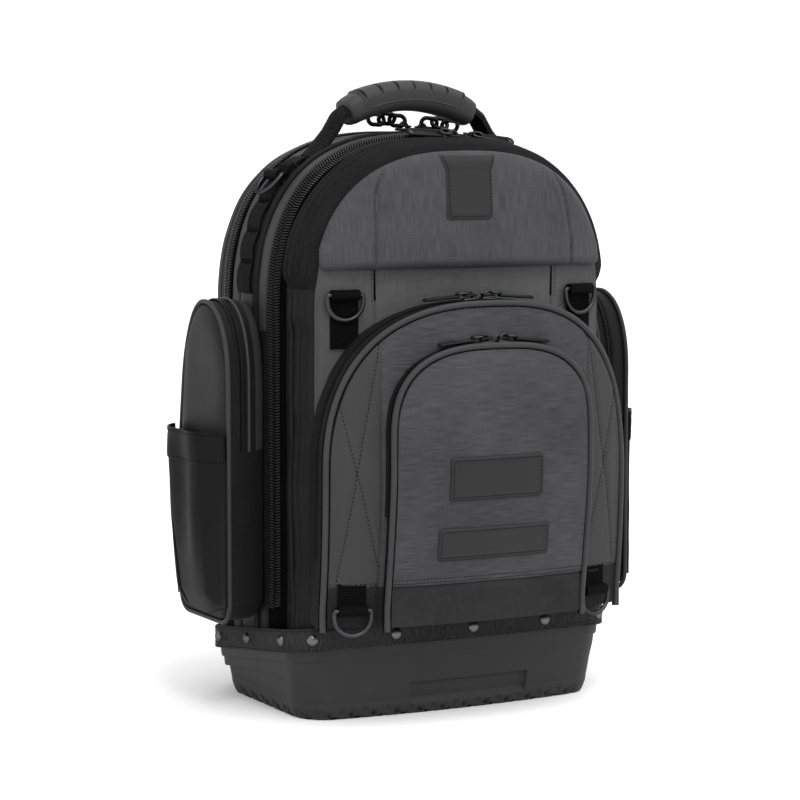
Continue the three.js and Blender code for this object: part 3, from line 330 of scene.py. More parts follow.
def wear_group():
    """Slow changes of tone over a whole piece, and fine specks of lint."""
    tree, given, out = group(
        "tone_and_lint",
        [("Place", "NodeSocketVector", None), ("Patch", "NodeSocketFloat", 14.0),
         ("Speck", "NodeSocketFloat", 900.0)],
        [("Tone", "NodeSocketFloat"), ("Lint", "NodeSocketFloat"), ("Grain", "NodeSocketFloat")],
    )
    w = Wires(tree)
    w.link(w.noise(given.outputs["Place"], given.outputs["Patch"], 3.0), out.inputs["Tone"])
    specks = w.noise(given.outputs["Place"], given.outputs["Speck"], 1.0)
    w.link(w.ramp(specks, 0.70, 0.78), out.inputs["Lint"])
    w.link(w.noise(given.outputs["Place"], given.outputs["Speck"], 3.0, 0.6), out.inputs["Grain"])
    return tree


PLAIN_WEAVE = plain_weave_group()
WEBBING_RIBS = cord_rows_group()
TONE_AND_LINT = wear_group()


def shade(colour, factor):
    return tuple(min(1.0, c * factor) for c in colour) + (1.0,)


METAL_EDGE = (0.3, 0.3, 0.31, 1)


def new_material(name, metallic=0.0, sheen=0.0, specular=0.5, coat=0.0):
    material = bpy.data.materials.new(name)
    material.use_nodes = True
    shader = material.node_tree.nodes["Principled BSDF"]
    for socket, value in (
        ("Metallic", metallic), ("Specular IOR Level", specular),
        ("Specular Tint", METAL_EDGE if metallic else (1, 1, 1, 1)),
        ("Sheen Weight", sheen), ("Sheen Roughness", 0.45), ("Coat Weight", coat),
    ):
        shader.inputs[socket].default_value = value
    w = Wires(material.node_tree)
    coordinates = material.node_tree.nodes.new("ShaderNodeTexCoord")
    wear = material.node_tree.nodes.new("ShaderNodeGroup")
    wear.node_tree = TONE_AND_LINT
    w.link(coordinates.outputs["Object"], wear.inputs["Place"])
    return material, shader, w, coordinates, wear


def raise_surface(w, shader, height, distance, strength=1.0):
    node = w.tree.nodes.new("ShaderNodeBump")
    node.inputs["Distance"].default_value = distance
    node.inputs["Strength"].default_value = strength
    w.link(height, node.inputs["Height"])
    w.link(node.outputs[0], shader.inputs["Normal"])


def woven(name, colour, warp, weft, depth, contrast=0.25, roughness=0.8, sheen=0.0,
          weave=None, lint=0.0, patch=14.0, specular=0.02, rows=0.5):
    """Cloth or webbing: a weave that sets height, tone per yarn, painted shade in the hollows
    between yarns, and a slow change of tone.
    """
    material, shader, w, coordinates, wear = new_material(name, sheen=sheen, specular=specular)
    yarns = w.tree.nodes.new("ShaderNodeGroup")
    yarns.node_tree = weave or PLAIN_WEAVE
    w.link(coordinates.outputs["UV"], yarns.inputs["Cloth"])
    yarns.inputs[1].default_value = warp
    yarns.inputs[2].default_value = weft
    if weave is None:
        yarns.inputs["Rows"].default_value = rows
    wear.inputs["Patch"].default_value = patch
    tone = w.math(
        "ADD",
        w.times(yarns.outputs["Tone"], 0.6),
        w.times(wear.outputs["Tone"], 0.4),
    )
    tone = w.plus(w.times(w.minus(tone, 0.5), 3.0), 0.5, clamp=True)
    body = w.mix(tone, shade(colour, 1 - contrast), shade(colour, 1 + contrast))
    # Painted shade: where the yarns dip, in the hollows between them, the colour darkens towards
    # 0.35 of itself.
    painted_hollow_shade = w.times(w.minus(1.0, yarns.outputs["Height"]), contrast * 1.4,
                  clamp=True)
    body = w.mix(painted_hollow_shade, body, shade(colour, 0.35))
    if lint:
        body = w.mix(w.times(wear.outputs["Lint"], lint), body, shade(colour, 3.5))
    w.link(body, shader.inputs["Base Color"])
    w.link(w.ramp(wear.outputs["Tone"], 0.3, 0.7, roughness - 0.06, roughness + 0.06),
           shader.inputs["Roughness"])
    height = w.plus(yarns.outputs["Height"],
                    w.times(wear.outputs["Grain"], 0.35))
    raise_surface(w, shader, height, depth)
    return material


def moulded(name, colour, grain=900.0, depth=0.00012, roughness=0.5, contrast=0.12,
            metallic=0.0, specular=0.5, sheen=0.0, coat=0.0, patch=10.0, lint=0.0):
    """Rubber, leather, metal or a smooth cord: fine grain and a slow change of tone."""
    material, shader, w, _, wear = new_material(name, metallic, sheen, specular, coat)
    wear.inputs["Patch"].default_value = patch
    wear.inputs["Speck"].default_value = grain
    body = w.mix(w.ramp(wear.outputs["Tone"], 0.3, 0.7), shade(colour, 1 - contrast),
                 shade(colour, 1 + contrast))
    body = w.mix(w.times(wear.outputs["Grain"], 0.25), body, shade(colour, 0.6))
    if lint:
        body = w.mix(w.times(wear.outputs["Lint"], lint), body, shade(colour, 3.5))
    w.link(body, shader.inputs["Base Color"])
    w.link(w.ramp(wear.outputs["Tone"], 0.25, 0.75, roughness - 0.07, roughness + 0.07),
           shader.inputs["Roughness"])
    raise_surface(w, shader, wear.outputs["Grain"], depth)
    return material


M = {
    "ballistic": woven("ballistic_grey", (0.0530, 0.0530, 0.0556), 1.3, 1.5, 0.00025, 0.36, 0.62,
                       rows=0.85),
    "hood_cloth": woven("hood_ballistic", (0.0480, 0.0480, 0.0512), 1.7, 1.2, 0.00022, 0.34, 0.55,
                        specular=0.1, rows=0.2),
    "panel_cloth": woven("panel_nylon", (0.0790, 0.0790, 0.0805), 1.7, 1.5, 0.0002, 0.22, 0.75,
                         lint=0.15),
    "smooth_grey": woven("smooth_grey_twill", (0.0320, 0.0320, 0.0326), 0.5, 0.5, 0.00005, 0.08,
                         0.5, specular=0.1),
    "black_cloth": woven("black_nylon", (0.0100, 0.0100, 0.0103), 0.9, 0.9, 0.00018, 0.25, 0.55,
                         lint=0.06, specular=0.1),
    # A darker copy of the smooth grey twill, used on the side pocket faces: painted shade for
    # faces turned to the side.
    "shaded_side_grey": woven("side_twill_painted_shade", (0.0105, 0.0105, 0.0107), 0.5, 0.5, 0.00005, 0.1, 0.5,
                       specular=0.08),
    "toe_cloth": woven("toe_nylon", (0.0255, 0.0255, 0.0262), 0.9, 0.9, 0.0002, 0.3, 0.65,
                       lint=0.06),
    "strap_webbing": woven("handle_webbing", (0.0125, 0.0125, 0.0130), 2.4, 3.2, 0.0010, 0.6,
                           0.55, weave=WEBBING_RIBS),
    "pocket_black": woven("pocket_nylon", (0.0050, 0.0050, 0.0052), 0.8, 0.8, 0.0001, 0.15, 0.48,
                          specular=0.06),
    "rim_cloth": woven("rim_oxford", (0.0140, 0.0140, 0.0144), 1.5, 1.5, 0.0004, 0.5, 0.72,
                       lint=0.25),
    "webbing": woven("webbing_black", (0.0040, 0.0040, 0.0042), 1.7, 2.3, 0.0006, 0.45, 0.55,
                     weave=WEBBING_RIBS),
    "band": woven("band_webbing", (0.0290, 0.0290, 0.0296), 2.2, 7.0, 0.0007, 0.5, 0.5,
                  weave=WEBBING_RIBS),
    "tape": woven("zip_tape", (0.0022, 0.0022, 0.0024), 0.8, 0.8, 0.00015, 0.3, 0.7),
    "padding": woven("padding_mesh", (0.0120, 0.0120, 0.0126), 2.6, 2.6, 0.0011, 0.5, 0.85),
    "strap_cloth": woven("strap_nylon", (0.0108, 0.0108, 0.0114), 1.0, 1.0, 0.0002, 0.25, 0.7),
    "piping": moulded("piping_cord", (0.0300, 0.0300, 0.0308), 700, 0.00022, 0.5, specular=0.15),
    "side_piping": moulded("side_cord", (0.0270, 0.0270, 0.0276), 700, 0.0002, 0.5, specular=0.1),
    "dark_piping": moulded("seam_cord", (0.0084, 0.0084, 0.0087), 700, 0.0002, 0.55,
                           specular=0.05),
    "coil": moulded("zip_coil", (0.0090, 0.0090, 0.0095), 400, 0.00003, 0.35, specular=0.25),
    "pocket_coil": moulded("pocket_zip_coil", (0.0050, 0.0050, 0.0053), 400, 0.00003, 0.4,
                           specular=0.15),
    "black_metal": moulded("black_chain", (0.0140, 0.0140, 0.0147), 500, 0.00003, 0.32, 0.2,
                           metallic=0.7),
    "rivet_metal": moulded("rivet_steel", (0.1100, 0.1100, 0.1150), 500, 0.00003, 0.26, 0.2,
                           metallic=0.9),
    "metal": moulded("gunmetal", (0.0420, 0.0420, 0.0441), 500, 0.00003, 0.3, 0.2, metallic=0.9),
    "rubber": moulded("base_rubber", (0.0240, 0.0240, 0.0244), 1500, 0.00009, 0.55, 0.1,
                      specular=0.12),
    "grip_rubber": moulded("grip_rubber", (0.0290, 0.0290, 0.0295), 1500, 0.00008, 0.52, 0.1,
                           specular=0.15),
    "leather": moulded("patch_leather", (0.0185, 0.0185, 0.0190), 650, 0.00018, 0.48, 0.15,
                       specular=0.12),
    "thread": moulded("dark_thread", (0.0022, 0.0022, 0.0024), 900, 0.00005, 0.6, specular=0.0),
    # Lighter cord used only along the grip's ledge: a painted highlight line.
    "painted_highlight_line": moulded("grip_ledge_painted_highlight", (0.0450, 0.0450, 0.0468), 900, 0.00005, 0.6,
                            specular=0.1),
    "plastic": moulded("buckle_plastic", (0.0084, 0.0084, 0.0087), 900, 0.00005, 0.38,
                       specular=0.2),
}


# Building meshes


def measure(points):
    """Cloth coordinates of a grid in millimetres: along its rows and along its columns."""
    rows, cols = points.shape[:2]
    u, v = run_along(points[:, cols // 2]), run_along(points[rows // 2])
    return np.stack(np.meshgrid(u, v, indexing="ij"), -1)


def grid_normals(points):
    return unit(np.cross(np.gradient(points, axis=0), np.gradient(points, axis=1)))


def add_object(name, data):
    obj = bpy.data.objects.new(name, data)
    bpy.context.scene.collection.objects.link(obj)
    return obj


class Piece:
    """Gathers closed bodies of cloth, cord and metal into one mesh."""

    def __init__(self):
        self.points, self.faces, self.cloth, self.finish = [], [], [], []
        self.count = 0
        self.materials = []

    def index(self, material):
        if material not in self.materials:
            self.materials.append(material)
        return self.materials.index(material)

    def add(self, points, faces, cloth, finish):
        self.points.append(points)
        self.cloth.append(cloth)
        self.faces.extend([tuple(i + self.count for i in face) for face in faces])
        self.finish.extend(finish)
        self.count += len(points)

    def shell(self, rows, cloth, material, wrap_rows=False):
        """A tube of rings (R, C, 3) whose ends are closed by facing its two halves."""
        r, c = rows.shape[:2]
        faces, finish = [], []
        picks = material if isinstance(material, np.ndarray) else None
        number = None if picks is not None else self.index(material)
        last = r if wrap_rows else r - 1
        for i in range(last):
            a, b = i * c, ((i + 1) % r) * c
            for j in range(c):
                k = (j + 1) % c
                faces.append((a + j, a + k, b + k, b + j))
                finish.append(number if picks is None else int(picks[min(i, r - 2), j]))
        if not wrap_rows:
            end = (r - 1) * c
            for j in range(c // 2 - 1):
                faces.append((j, c - 1 - j, c - 2 - j, j + 1))
                faces.append((end + j, end + j + 1, end + c - 2 - j, end + c - 1 - j))
                pick = number if picks is None else int(picks[0, j])
                finish.extend([pick, pick])
        self.add(rows.reshape(-1, 3), faces, cloth.reshape(-1, 2), finish)

    def slab(self, outer, thickness, material, cloth=None, inner=None, side=1.0):
        """A sheet: the outer grid, and an inner one that lies a thickness behind it."""
        if inner is None:
            inner = outer - side * grid_normals(outer) * thickness
        cloth = measure(outer) if cloth is None else cloth
        rows = np.concatenate([outer, inner[:, ::-1]], 1)
        cloth = np.concatenate([cloth, cloth[:, ::-1]], 1)
        if isinstance(material, np.ndarray):
            edge = material[:, -1:]
            material = np.concatenate([material, edge, material[:, ::-1], material[:, :1]], 1)
        self.shell(rows, cloth, material)

    def tube(self, path, radius, material, sides=8, closed=False, flat=1.0, up=None):
        """A round cord; flat squeezes it along up, which is also its way up."""
        path = np.asarray(path, float)
        if closed:
            tangent = unit(np.roll(path, -1, 0) - np.roll(path, 1, 0))
        else:
            tangent = unit(np.gradient(path, axis=0))
        up = np.array([0.0, 1.0, 0.0]) if up is None else np.asarray(up, float)
        up = np.broadcast_to(up, path.shape)
        side = unit(np.cross(tangent, up))
        top = unit(np.cross(side, tangent))
        angle = np.arange(sides) * 2 * np.pi / sides + np.pi / sides
        radius = np.broadcast_to(np.asarray(radius, float), (len(path),))[:, None, None]
        ring = (
            side[:, None] * np.cos(angle)[None, :, None]
            + top[:, None] * np.sin(angle)[None, :, None] * flat
        )
        rows = path[:, None] + ring * radius
        run = run_along(path)
        around = np.arange(sides) * float(radius.mean()) * 6.28 / sides
        cloth = np.stack(np.meshgrid(run, around, indexing="ij"), -1)
        self.shell(rows, cloth, material, wrap_rows=closed)

    def block(self, centre, axes, size, material, chamfer=0.5):
        """A small block with cut corners, its sizes along three unit axes."""
        axes = np.asarray(axes, float)
        half = np.asarray(size, float) / 2
        cut = min(chamfer, half.min() * 0.8)
        rows = []
        for depth, inset in ((-1, cut), (-1, 0), (1, 0), (1, cut)):
            w = half[2] - (0 if inset else cut)
            a, b = half[0] - inset, half[1] - inset
            corner = [(a - cut, -b), (a, -b + cut), (a, b - cut), (a - cut, b),
                      (-a + cut, b), (-a, b - cut), (-a, -b + cut), (-a + cut, -b)]
            rows.append([
                np.asarray(centre, float) + axes[0] * p + axes[1] * q + axes[2] * depth * w
                for p, q in corner
            ])
        rows = np.array(rows)
        self.shell(rows, np.zeros(rows.shape[:2] + (2,)), material)

    def stitches(self, path, normal, material, pitch=3.4, length=2.3, radius=0.4):
        """A row of short threads along a path, lying on the cloth."""
        count = max(2, int(length_of(path) / pitch))
        places = resample(path, count)
        tangent = unit(np.gradient(places, axis=0))
        normal = np.asarray(normal, float)
        if normal.ndim == 2:
            normal = unit(resample(normal, count))
        else:
            normal = np.broadcast_to(unit(normal), places.shape)
        side = unit(np.cross(tangent, normal))
        corners = np.stack([
            places - tangent * length / 2, places + side * radius, places + normal * radius,
            places - side * radius, places - normal * radius, places + tangent * length / 2,
        ], 1)
        faces = []
        for n in range(count):
            k = n * 6
            for a, b in ((1, 2), (2, 3), (3, 4), (4, 1)):
                faces.append((k, k + b, k + a))
                faces.append((k + 5, k + a, k + b))
        number = self.index(material)
        self.add(corners.reshape(-1, 3), faces, np.zeros((count * 6, 2)), [number] * len(faces))

    def coil(self, path, side, normal, width, material, pitch=3.0, slant=0.5, high=1.3):
        """Interlocking zip coils: rounded slanting bars in two rows, half a pitch apart."""
        count = max(2, int(length_of(path) / pitch))
        joined = resample(np.concatenate([path, side, normal], 1), count)
        places, side, normal = joined[:, :3], unit(joined[:, 3:6]), unit(joined[:, 6:])
        tangent = unit(np.gradient(places, axis=0))
        around = np.arange(6) * np.pi / 3
        corners, faces = [], []
        for row in (-1, 1):
            centre = places + side * row * width * 0.25 + tangent * pitch * 0.25 * row
            along = unit(side * row + tangent * slant)
            across = unit(np.cross(normal, along))
            for end, size in ((-0.5, 0.45), (-0.38, 0.95), (0.0, 1.0), (0.38, 0.95), (0.5, 0.45)):
                rise = high * (1 - (2 * end) ** 2) * 0.35
                at = centre + along * width * 0.53 * end + normal * rise
                for a in around:
                    corners.append(at + (across * math.cos(a) * pitch * 0.36
                                         + normal * math.sin(a) * high) * size)
        corners = np.stack(corners, 1)
        for n in range(count):
            for half in (0, 30):
                k = n * 60 + half
                for ring in range(4):
                    for j in range(6):
                        p, q = k + ring * 6 + j, k + ring * 6 + (j + 1) % 6
                        faces.append((p, q, q + 6, p + 6))
                faces.append(tuple(k + j for j in range(5, -1, -1)))
                faces.append(tuple(k + 24 + j for j in range(6)))
        number = self.index(material)
        self.add(corners.reshape(-1, 3), faces, np.zeros((count * 60, 2)),
                 [number] * len(faces))

    def build(self, name, slot, replaces=(), body="pack", smooth=True):
        points = np.concatenate(self.points)
        points = (points + [0, SHIFT_Y, 0]) / 1000
        mesh = bpy.data.meshes.new(name)
        mesh.from_pydata(points.tolist(), [], self.faces)
        for material in self.materials:
            mesh.materials.append(M[material])
        mesh.polygons.foreach_set("material_index", self.finish)
        mesh.polygons.foreach_set("use_smooth", [smooth] * len(self.faces))
        loops = np.zeros(len(mesh.loops), int)
        mesh.loops.foreach_get("vertex_index", loops)
        layer = mesh.uv_layers.new(name="cloth")
        layer.data.foreach_set("uv", np.concatenate(self.cloth)[loops].astype(np.float32).ravel())
        mesh.update()
        mesh.validate()
        work = bmesh.new()
        work.from_mesh(mesh)
        bmesh.ops.recalc_face_normals(work, faces=work.faces)
        work.to_mesh(mesh)
        work.free()
        if smooth:
            mesh.set_sharp_from_angle(angle=math.radians(50))
        obj = add_object(name, mesh)
        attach(obj, body)
        if replaces:
            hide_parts(*replaces)
        return obj


# Body shells round the arch


def sweep_arch(profile, foot, count, wrinkle=0.0, seed=0):
    """Points of a profile of (y, inset) rows carried round the body's arch along its normals."""
    path = arch(BODY, foot, count)
    normal = outward(path)
    y = profile[:, 0][None, :]
    inset = profile[:, 1][None, :]
    x = path[:, 0][:, None] - normal[:, 0][:, None] * inset
    z = path[:, 1][:, None] - normal[:, 1][:, None] * inset
    z = np.maximum(z, rim_height(y) + 9)
    points = np.stack([x, np.broadcast_to(y, x.shape), z], -1)
    if wrinkle:
        out = in_plane(normal)[:, None]
        slow = drift(points * [1, 1, 0.35], 17, seed) + drift(points * [1, 1, 1.6], 30, seed + 1)
        fine = drift(points, 9, seed + 2)
        loose = 0.45 + 1.9 * smooth((350 - points[..., 2]) / 12) * smooth((-54 - y) / 6)
        lift = (slow * 0.75 + fine * 0.25) * wrinkle * loose
        above = smooth((points[..., 2] - 352) / 22)
        sides = 4.2 + 3.6 * smooth((450 - points[..., 2]) / 60)
        lift = lift + sides * above * smooth((-60 - y) / 8) * (1 - 0.5 * smooth((-92 - y) / 8))
        seam = bump(points[..., 2], 361 + 0.15 * (y + 75), 1.3) * smooth((-50 - y) / 3)
        points = points + out * (lift - 1.6 * seam)[..., None]
    return points


def strips_profile(rows, step=1.6):
    """Turns rows of y, inset, puff and finish into a profile; each strip puffs between seams."""
    points, finish = [], []
    for (y0, in0, puff, name), (y1, in1, _, _) in zip(rows, rows[1:]):
        count = max(2, int(math.hypot(y1 - y0, in1 - in0) / step))
        for k in range(count):
            t = k / count
            lift = puff * math.sin(math.pi * t) ** 0.5 - (0.9 if k == 0 else 0)
            points.append((lerp(y0, y1, t), lerp(in0, in1, t) - lift))
            finish.append(name)
    points.append((rows[-1][0], rows[-1][1] + 0.9))
    return np.array(points), finish


REAR_STRIPS = [
    (SEAM_Y + 2.0, 0.6, 0.9, "smooth_grey"),
    (-15.0, 0.0, 0.5, "smooth_grey"),
    (11.0, 0.0, 0.9, "smooth_grey"),
    (28.0, 0.2, 0.2, "tape"),
    (42.0, 0.2, 0.5, "black_cloth"),
    (50.0, 0.0, 0.4, "black_cloth"),
    (62.0, 2.1, 0.3, "black_cloth"),
    (71.2, 6.8, 0.2, "black_cloth"),
    (78.5, 13.6, 0.2, "black_cloth"),
    (83.4, 22.0, 0.2, "black_cloth"),
    (86.0, 36.0, 0.0, "black_cloth"),
]
FRONT_STRIPS = [
    (SEAM_Y - 2.0, 0.6, 0.9, "smooth_grey"),
    (-40.0, 0.0, 0.0, "tape"),
    (-50.5, 8.2, -0.8, "tape"),
    (-53.0, 12.0, 0.7, "rim_cloth"),
    (-58.0, 11.6, -1.0, "tape"),
    (-60.2, 11.6, 0.5, "rim_cloth"),
    (-64.0, 11.5, -0.8, "tape"),
    (-67.0, 8.2, 1.3, "rim_cloth"),
    (-73.5, 7.8, -1.2, "tape"),
    (-75.8, 7.8, 0.9, "rim_cloth"),
    (-84.0, 7.6, 0.2, "rim_cloth"),
    (-90.5, 9.9, 0.2, "rim_cloth"),
    (-95.6, 13.9, 0.2, "rim_cloth"),
    (-99.0, 20.0, 0.1, "rim_cloth"),
    (-99.6, 26.0, 0.0, "rim_cloth"),
]


def body_shell(rows, low_finish=None):
    """One gusset: its strips carried round the body, with other finishes low down, and its grey
    strips painted black below the side pockets as painted shadow.
    """
    piece = Piece()
    profile, finish = strips_profile(rows)
    count = 230
    points = sweep_arch(profile, 56, count, wrinkle=0.9, seed=len(rows))
    bow = smooth((-80 - points[..., 1]) / 16) * front_bow(points[..., 0])
    points[..., 1] -= np.where(points[..., 1] < -80, bow, 0)
    numbers = np.array([piece.index(f) for f in finish])
    picks = np.tile(numbers, (count - 1, 1))
    if low_finish:
        middle_z = (points[1:, :-1, 2] + points[:-1, :-1, 2]) / 2
        for old, new in low_finish.items():
            picks[(picks == piece.index(old)) & (middle_z < 359)] = piece.index(new)
    # Painted shadow: below z 322 the smooth grey strips take the black cloth, where the side
    # pockets shade them.
    pocket_shadow_zone = (points[1:, :-1, 2] + points[:-1, :-1, 2]) / 2 < 322
    picks[(picks == piece.index("smooth_grey")) & pocket_shadow_zone] = piece.index("black_cloth")
    centre = np.stack([points[:, 0, 0] * 0, points[:, 0, 1] * 0, points[:, 0, 2] * 0 + 250], 1)
    inward = unit((centre - points.mean(1)) * [1, 0, 1])[:, None]
    inner = points + inward * 2.2
    piece.slab(points, 2.2, picks, inner=inner)
    return piece


def arch_frames(inset, y, foot, count):
    path = arch(BODY, foot, count)
    normal = outward(path)
    points = np.stack([path[:, 0] - normal[:, 0] * inset, np.full(count, y),
                       path[:, 1] - normal[:, 1] * inset], 1)
    out = in_plane(normal)
    return points, out


body_shell(REAR_STRIPS).build("rear_shell", "cloth", ["rear_gusset"])
body_shell(FRONT_STRIPS, {"rim_cloth": "black_cloth"}).build("front_shell", "rim",
                                                             ["front_gusset"])

seam_cords = Piece()
for offset in (-2.0, 2.0):
    points, out = arch_frames(-1.0, SEAM_Y + offset, 66, 240)
    seam_cords.tube(points, 1.75, "dark_piping", 8)
seam_cords.build("seam_cords", "piping")

# Zips round both compartments

front_zip = Piece()
points, out = arch_frames(4.2, -45.2, 91, 420)
side = unit(out * -0.62 + np.array([0.0, -0.78, 0.0]))
raised = unit(out * 0.78 + np.array([0.0, -0.62, 0.0]))
front_zip.coil(points + raised * 1.2, side, raised, 12.6, "coil", pitch=2.4, slant=0.25, high=1.1)
front_zip.build("front_zip_coil", "webbing", ["front_zip"])

rear_zip = Piece()
points, out = arch_frames(0.0, REAR_ZIP_Y, 341, 300)
side = np.tile([0.0, -1.0, 0.0], (len(points), 1))
rear_zip.coil(points + out * 1.2, side, out, 12.0, "coil", pitch=2.4, slant=0.25, high=1.1)
rear_zip.build("rear_zip_coil", "webbing", ["rear_zip"])


# Front panel, hood and its tab


def panel_grid(shape, low, inset, columns, rows, top_limit=None):
    """Even x columns and z rows under an arch, as two grids."""
    half = shape["half"] - inset
    angle = np.linspace(np.pi, 0, columns)
    x = half * signed_power(np.cos(angle), 0.85)
    top = arch_top(shape, x, inset)
    if top_limit is not None:
        top = np.minimum(top, top_limit)
    t = np.linspace(0, 1, rows)
    z = low + (top[:, None] - low) * t[None, :]
    return np.broadcast_to(x[:, None], z.shape).copy(), z, t


x, z, t = panel_grid(BODY, 74, 15.5, 112, 112)
y = front_face(x)
panel_points = np.stack([x, y, z], -1)
seams = 2.0 * (bump(np.abs(x), 83 + 0.02 * (z - 300), 1.3))
sag = drift(panel_points, 40, 3) * 1.2 + drift(panel_points, 14, 4) * 0.4
panel_points[..., 1] += seams - 0.8 + 0.5 * sag + 1.5 * smooth((np.abs(x) - 127) / 7.5) ** 2
front_panel = Piece()
front_panel.slab(panel_points, 2.4, "panel_cloth",
                 inner=panel_points + np.array([0, 2.4, 0]))
seam_z = np.linspace(349, 377, 30)
for side in (-1, 1):
    seam_x = side * (83 + 0.02 * (seam_z - 300))
    path = np.stack([seam_x, front_face(seam_x) + 0.4, seam_z], 1)
    front_panel.tube(path, 0.8, "thread", 6)
    front_panel.stitches(path + [side * 3.2, -1.2, 0], (0, -1, 0), "thread", pitch=3.0)
front_panel.build("front_panel_cloth", "cloth", ["front_panel"])


def hood_low(x):
    return HOOD_LOW + 5 - np.sqrt(np.maximum(0, 25 - np.maximum(0, np.abs(x) - 126.4) ** 2))


def hood_relief(x, z):
    """How far the moulded hood stands off the panel."""
    top, low = arch_top(HOOD, x), hood_low(x)
    share = np.clip((z - low) / np.maximum(1, top - low), 0, 1)
    ridge_x = 86 - 12 * smooth((z - 430) / 40) + (10 - 8 * smooth((z - 390) / 70)) * smooth(x / 50)
    beyond = np.clip((np.abs(x) - ridge_x) / 50, 0, 1)
    crown = 11.5 - 5.0 * share ** 2 - 6.0 * beyond ** 1.4
    crease = 2.4 * bump(np.abs(x), ridge_x + 1.8, 1.3)
    lip = 1.3 * bump(np.abs(x), ridge_x - 4.5, 4.0)
    height = crown - crease + lip
    roll = np.minimum(np.minimum((132.0 - np.abs(x)) / 6.0, (top - z) / 11.0), (z - low) / 8.0)
    roll = np.sqrt(np.maximum(0, 1 - (1 - np.clip(roll, 0, 1)) ** 2))
    return 1.6 + (height + 0.4) * roll


x, z, t = panel_grid(HOOD, HOOD_LOW, 0, 170, 90)
rise = (1 - np.cos(np.pi * t)) / 2 * 0.7 + t * 0.3
x = x * 131.3 / 137.6
z = hood_low(x) + (arch_top(HOOD, x) - hood_low(x)) * rise[None, :]
hood_points = np.stack([x, front_face(x) - 0.6 - hood_relief(x, z), z], -1)
hood_points[..., 1] += drift(hood_points, 30, 5) * 0.35
hood_back = np.stack([x, front_face(x) - 0.5, z], -1)
hood_points[..., 0] -= HOOD_SHIFT
hood_back[..., 0] -= HOOD_SHIFT
hood = Piece()
hood.slab(hood_points, 2, "hood_cloth", inner=hood_back,
          cloth=np.stack([x + 200, z], -1))
hood.build("hood_moulded", "cloth", ["hood_panel"])

# Bare tab: a straight piece below and a wider yoke above, sewn down all round


def hood_front(x, z):
    return front_face(x) - 0.6 - hood_relief(x, z)


TAB_SHIFT = 4.5
tab = Piece()
rows, columns = 46, 26
t = np.linspace(0, 1, rows)
tab_z = lerp(414.0, 467.0, t)
half_tab = 22.0 + 4.5 * np.clip((tab_z - 455) / 12, 0, 1)
corner = np.minimum(1, (tab_z - 414) / 4.0)
half_low = half_tab - 3.0 * (1 - np.sqrt(np.clip(corner * (2 - corner), 0, 1)))
s = np.linspace(-1, 1, columns)
x = half_low[:, None] * s[None, :] - TAB_SHIFT
z = np.broadcast_to(tab_z[:, None], x.shape)
edge = np.minimum(smooth((1 - np.abs(s))[None, :] * 8), smooth((tab_z[:, None] - 414) / 2.5))
from_middle = np.abs(x + TAB_SHIFT)
frame_line = 0.5 * bump(from_middle, half_low[:, None] - 5.0, 0.9)
panel_dip = 0.35 * (smooth((half_low[:, None] - 6.5 - from_middle) / 2) *
                    smooth((z - 421) / 2) * smooth((457 - z) / 2))
tab_points = np.stack([x, hood_front(x, z) - 0.2 - 1.5 * edge + frame_line * 0.3 + panel_dip, z],
                      -1)
tab.slab(tab_points, 1.5, "leather", inner=np.stack([x, hood_front(x, z) - 0.15, z], -1))
outline = np.array(
    [(2.6 - half_low[k], tab_z[k]) for k in range(rows - 1, 3, -1)]
    + [(q, 417.2) for q in np.linspace(-17.0, 17.0, 12)]
    + [(half_low[k] - 2.6, tab_z[k]) for k in range(4, rows)]
) - [TAB_SHIFT, 0]
tab_path = np.stack([outline[:, 0], hood_front(outline[:, 0], outline[:, 1]) - 2.1,
                     outline[:, 1]], 1)
tab.stitches(tab_path, (0, -1, 0), "thread", pitch=2.6, length=1.9, radius=0.42)
tab.build("hood_tab_leather", "leather", ["hood_tab"])


# Front pockets


def pocket_edge(name, shape, face):
    """The piping round a pocket's face, with a dark seam on each side of it."""
    path = arch(shape, POCKET_FOOT - 3.5, 260)
    out = in_plane(outward(path))
    path = np.stack([path[:, 0], face(path[:, 0], path[:, 1]), path[:, 1]], 1)
    edge = Piece()
    edge.tube(path, PIPING_RADIUS, "piping", 10)
    edge.tube(path - out * 3.0 + np.array([0, 0.4, 0]), 0.9, "thread", 6)
    edge.tube(path + out * 1.7 + np.array([0, 2.4, 0]), 0.9, "thread", 6)
    edge.build(f"{name}_cord", "piping", [f"{name}_piping"])


def pocket_gusset(piece, shape, seat, face, zip_width, seed):
    """The wall behind a pocket's piping, with its zip in the upper part."""
    count, across = 230, 22
    path = arch(shape, POCKET_FOOT, count)
    normal = outward(path)
    back = seat(path[:, 0], path[:, 1])
    front = face(path[:, 0], path[:, 1]) + 2.6
    front = np.minimum(front, back - 2.5)
    s = np.linspace(0, 1, across)
    y = lerp(back[:, None], front[:, None], s[None, :])
    puff = -0.4 + 1.1 * np.sin(np.pi * s)[None, :] ** 0.7
    x = path[:, 0][:, None] + normal[:, 0][:, None] * puff
    z = path[:, 1][:, None] + normal[:, 1][:, None] * puff
    points = np.stack([x, y, z], -1)
    wobble = drift(points, 18, seed) * 0.6
    points = points + (in_plane(normal)[:, None] * wobble[..., None])
    inner = points - in_plane(normal)[:, None] * 2.2
    piece.slab(points, 2.0, "black_cloth", inner=inner)
    high = path[:, 1] > shape["shoulder"] - 60
    middle = np.stack([path[:, 0] + normal[:, 0] * 1.5, (back + front) / 2,
                       path[:, 1] + normal[:, 1] * 1.5], 1)[high]
    out = in_plane(normal)[high]
    side = np.tile([0.0, -1.0, 0.0], (len(middle), 1))
    piece.coil(middle, side, out, zip_width, "pocket_coil", pitch=2.1, slant=0.4, high=0.8)


def crossing_lines(side):
    """Ends of the two sewn lines that cross on a side panel of the big pocket."""
    return [((side * 98, 322), (side * 132, 124)), ((side * 131, 268), (side * 99, 135))]


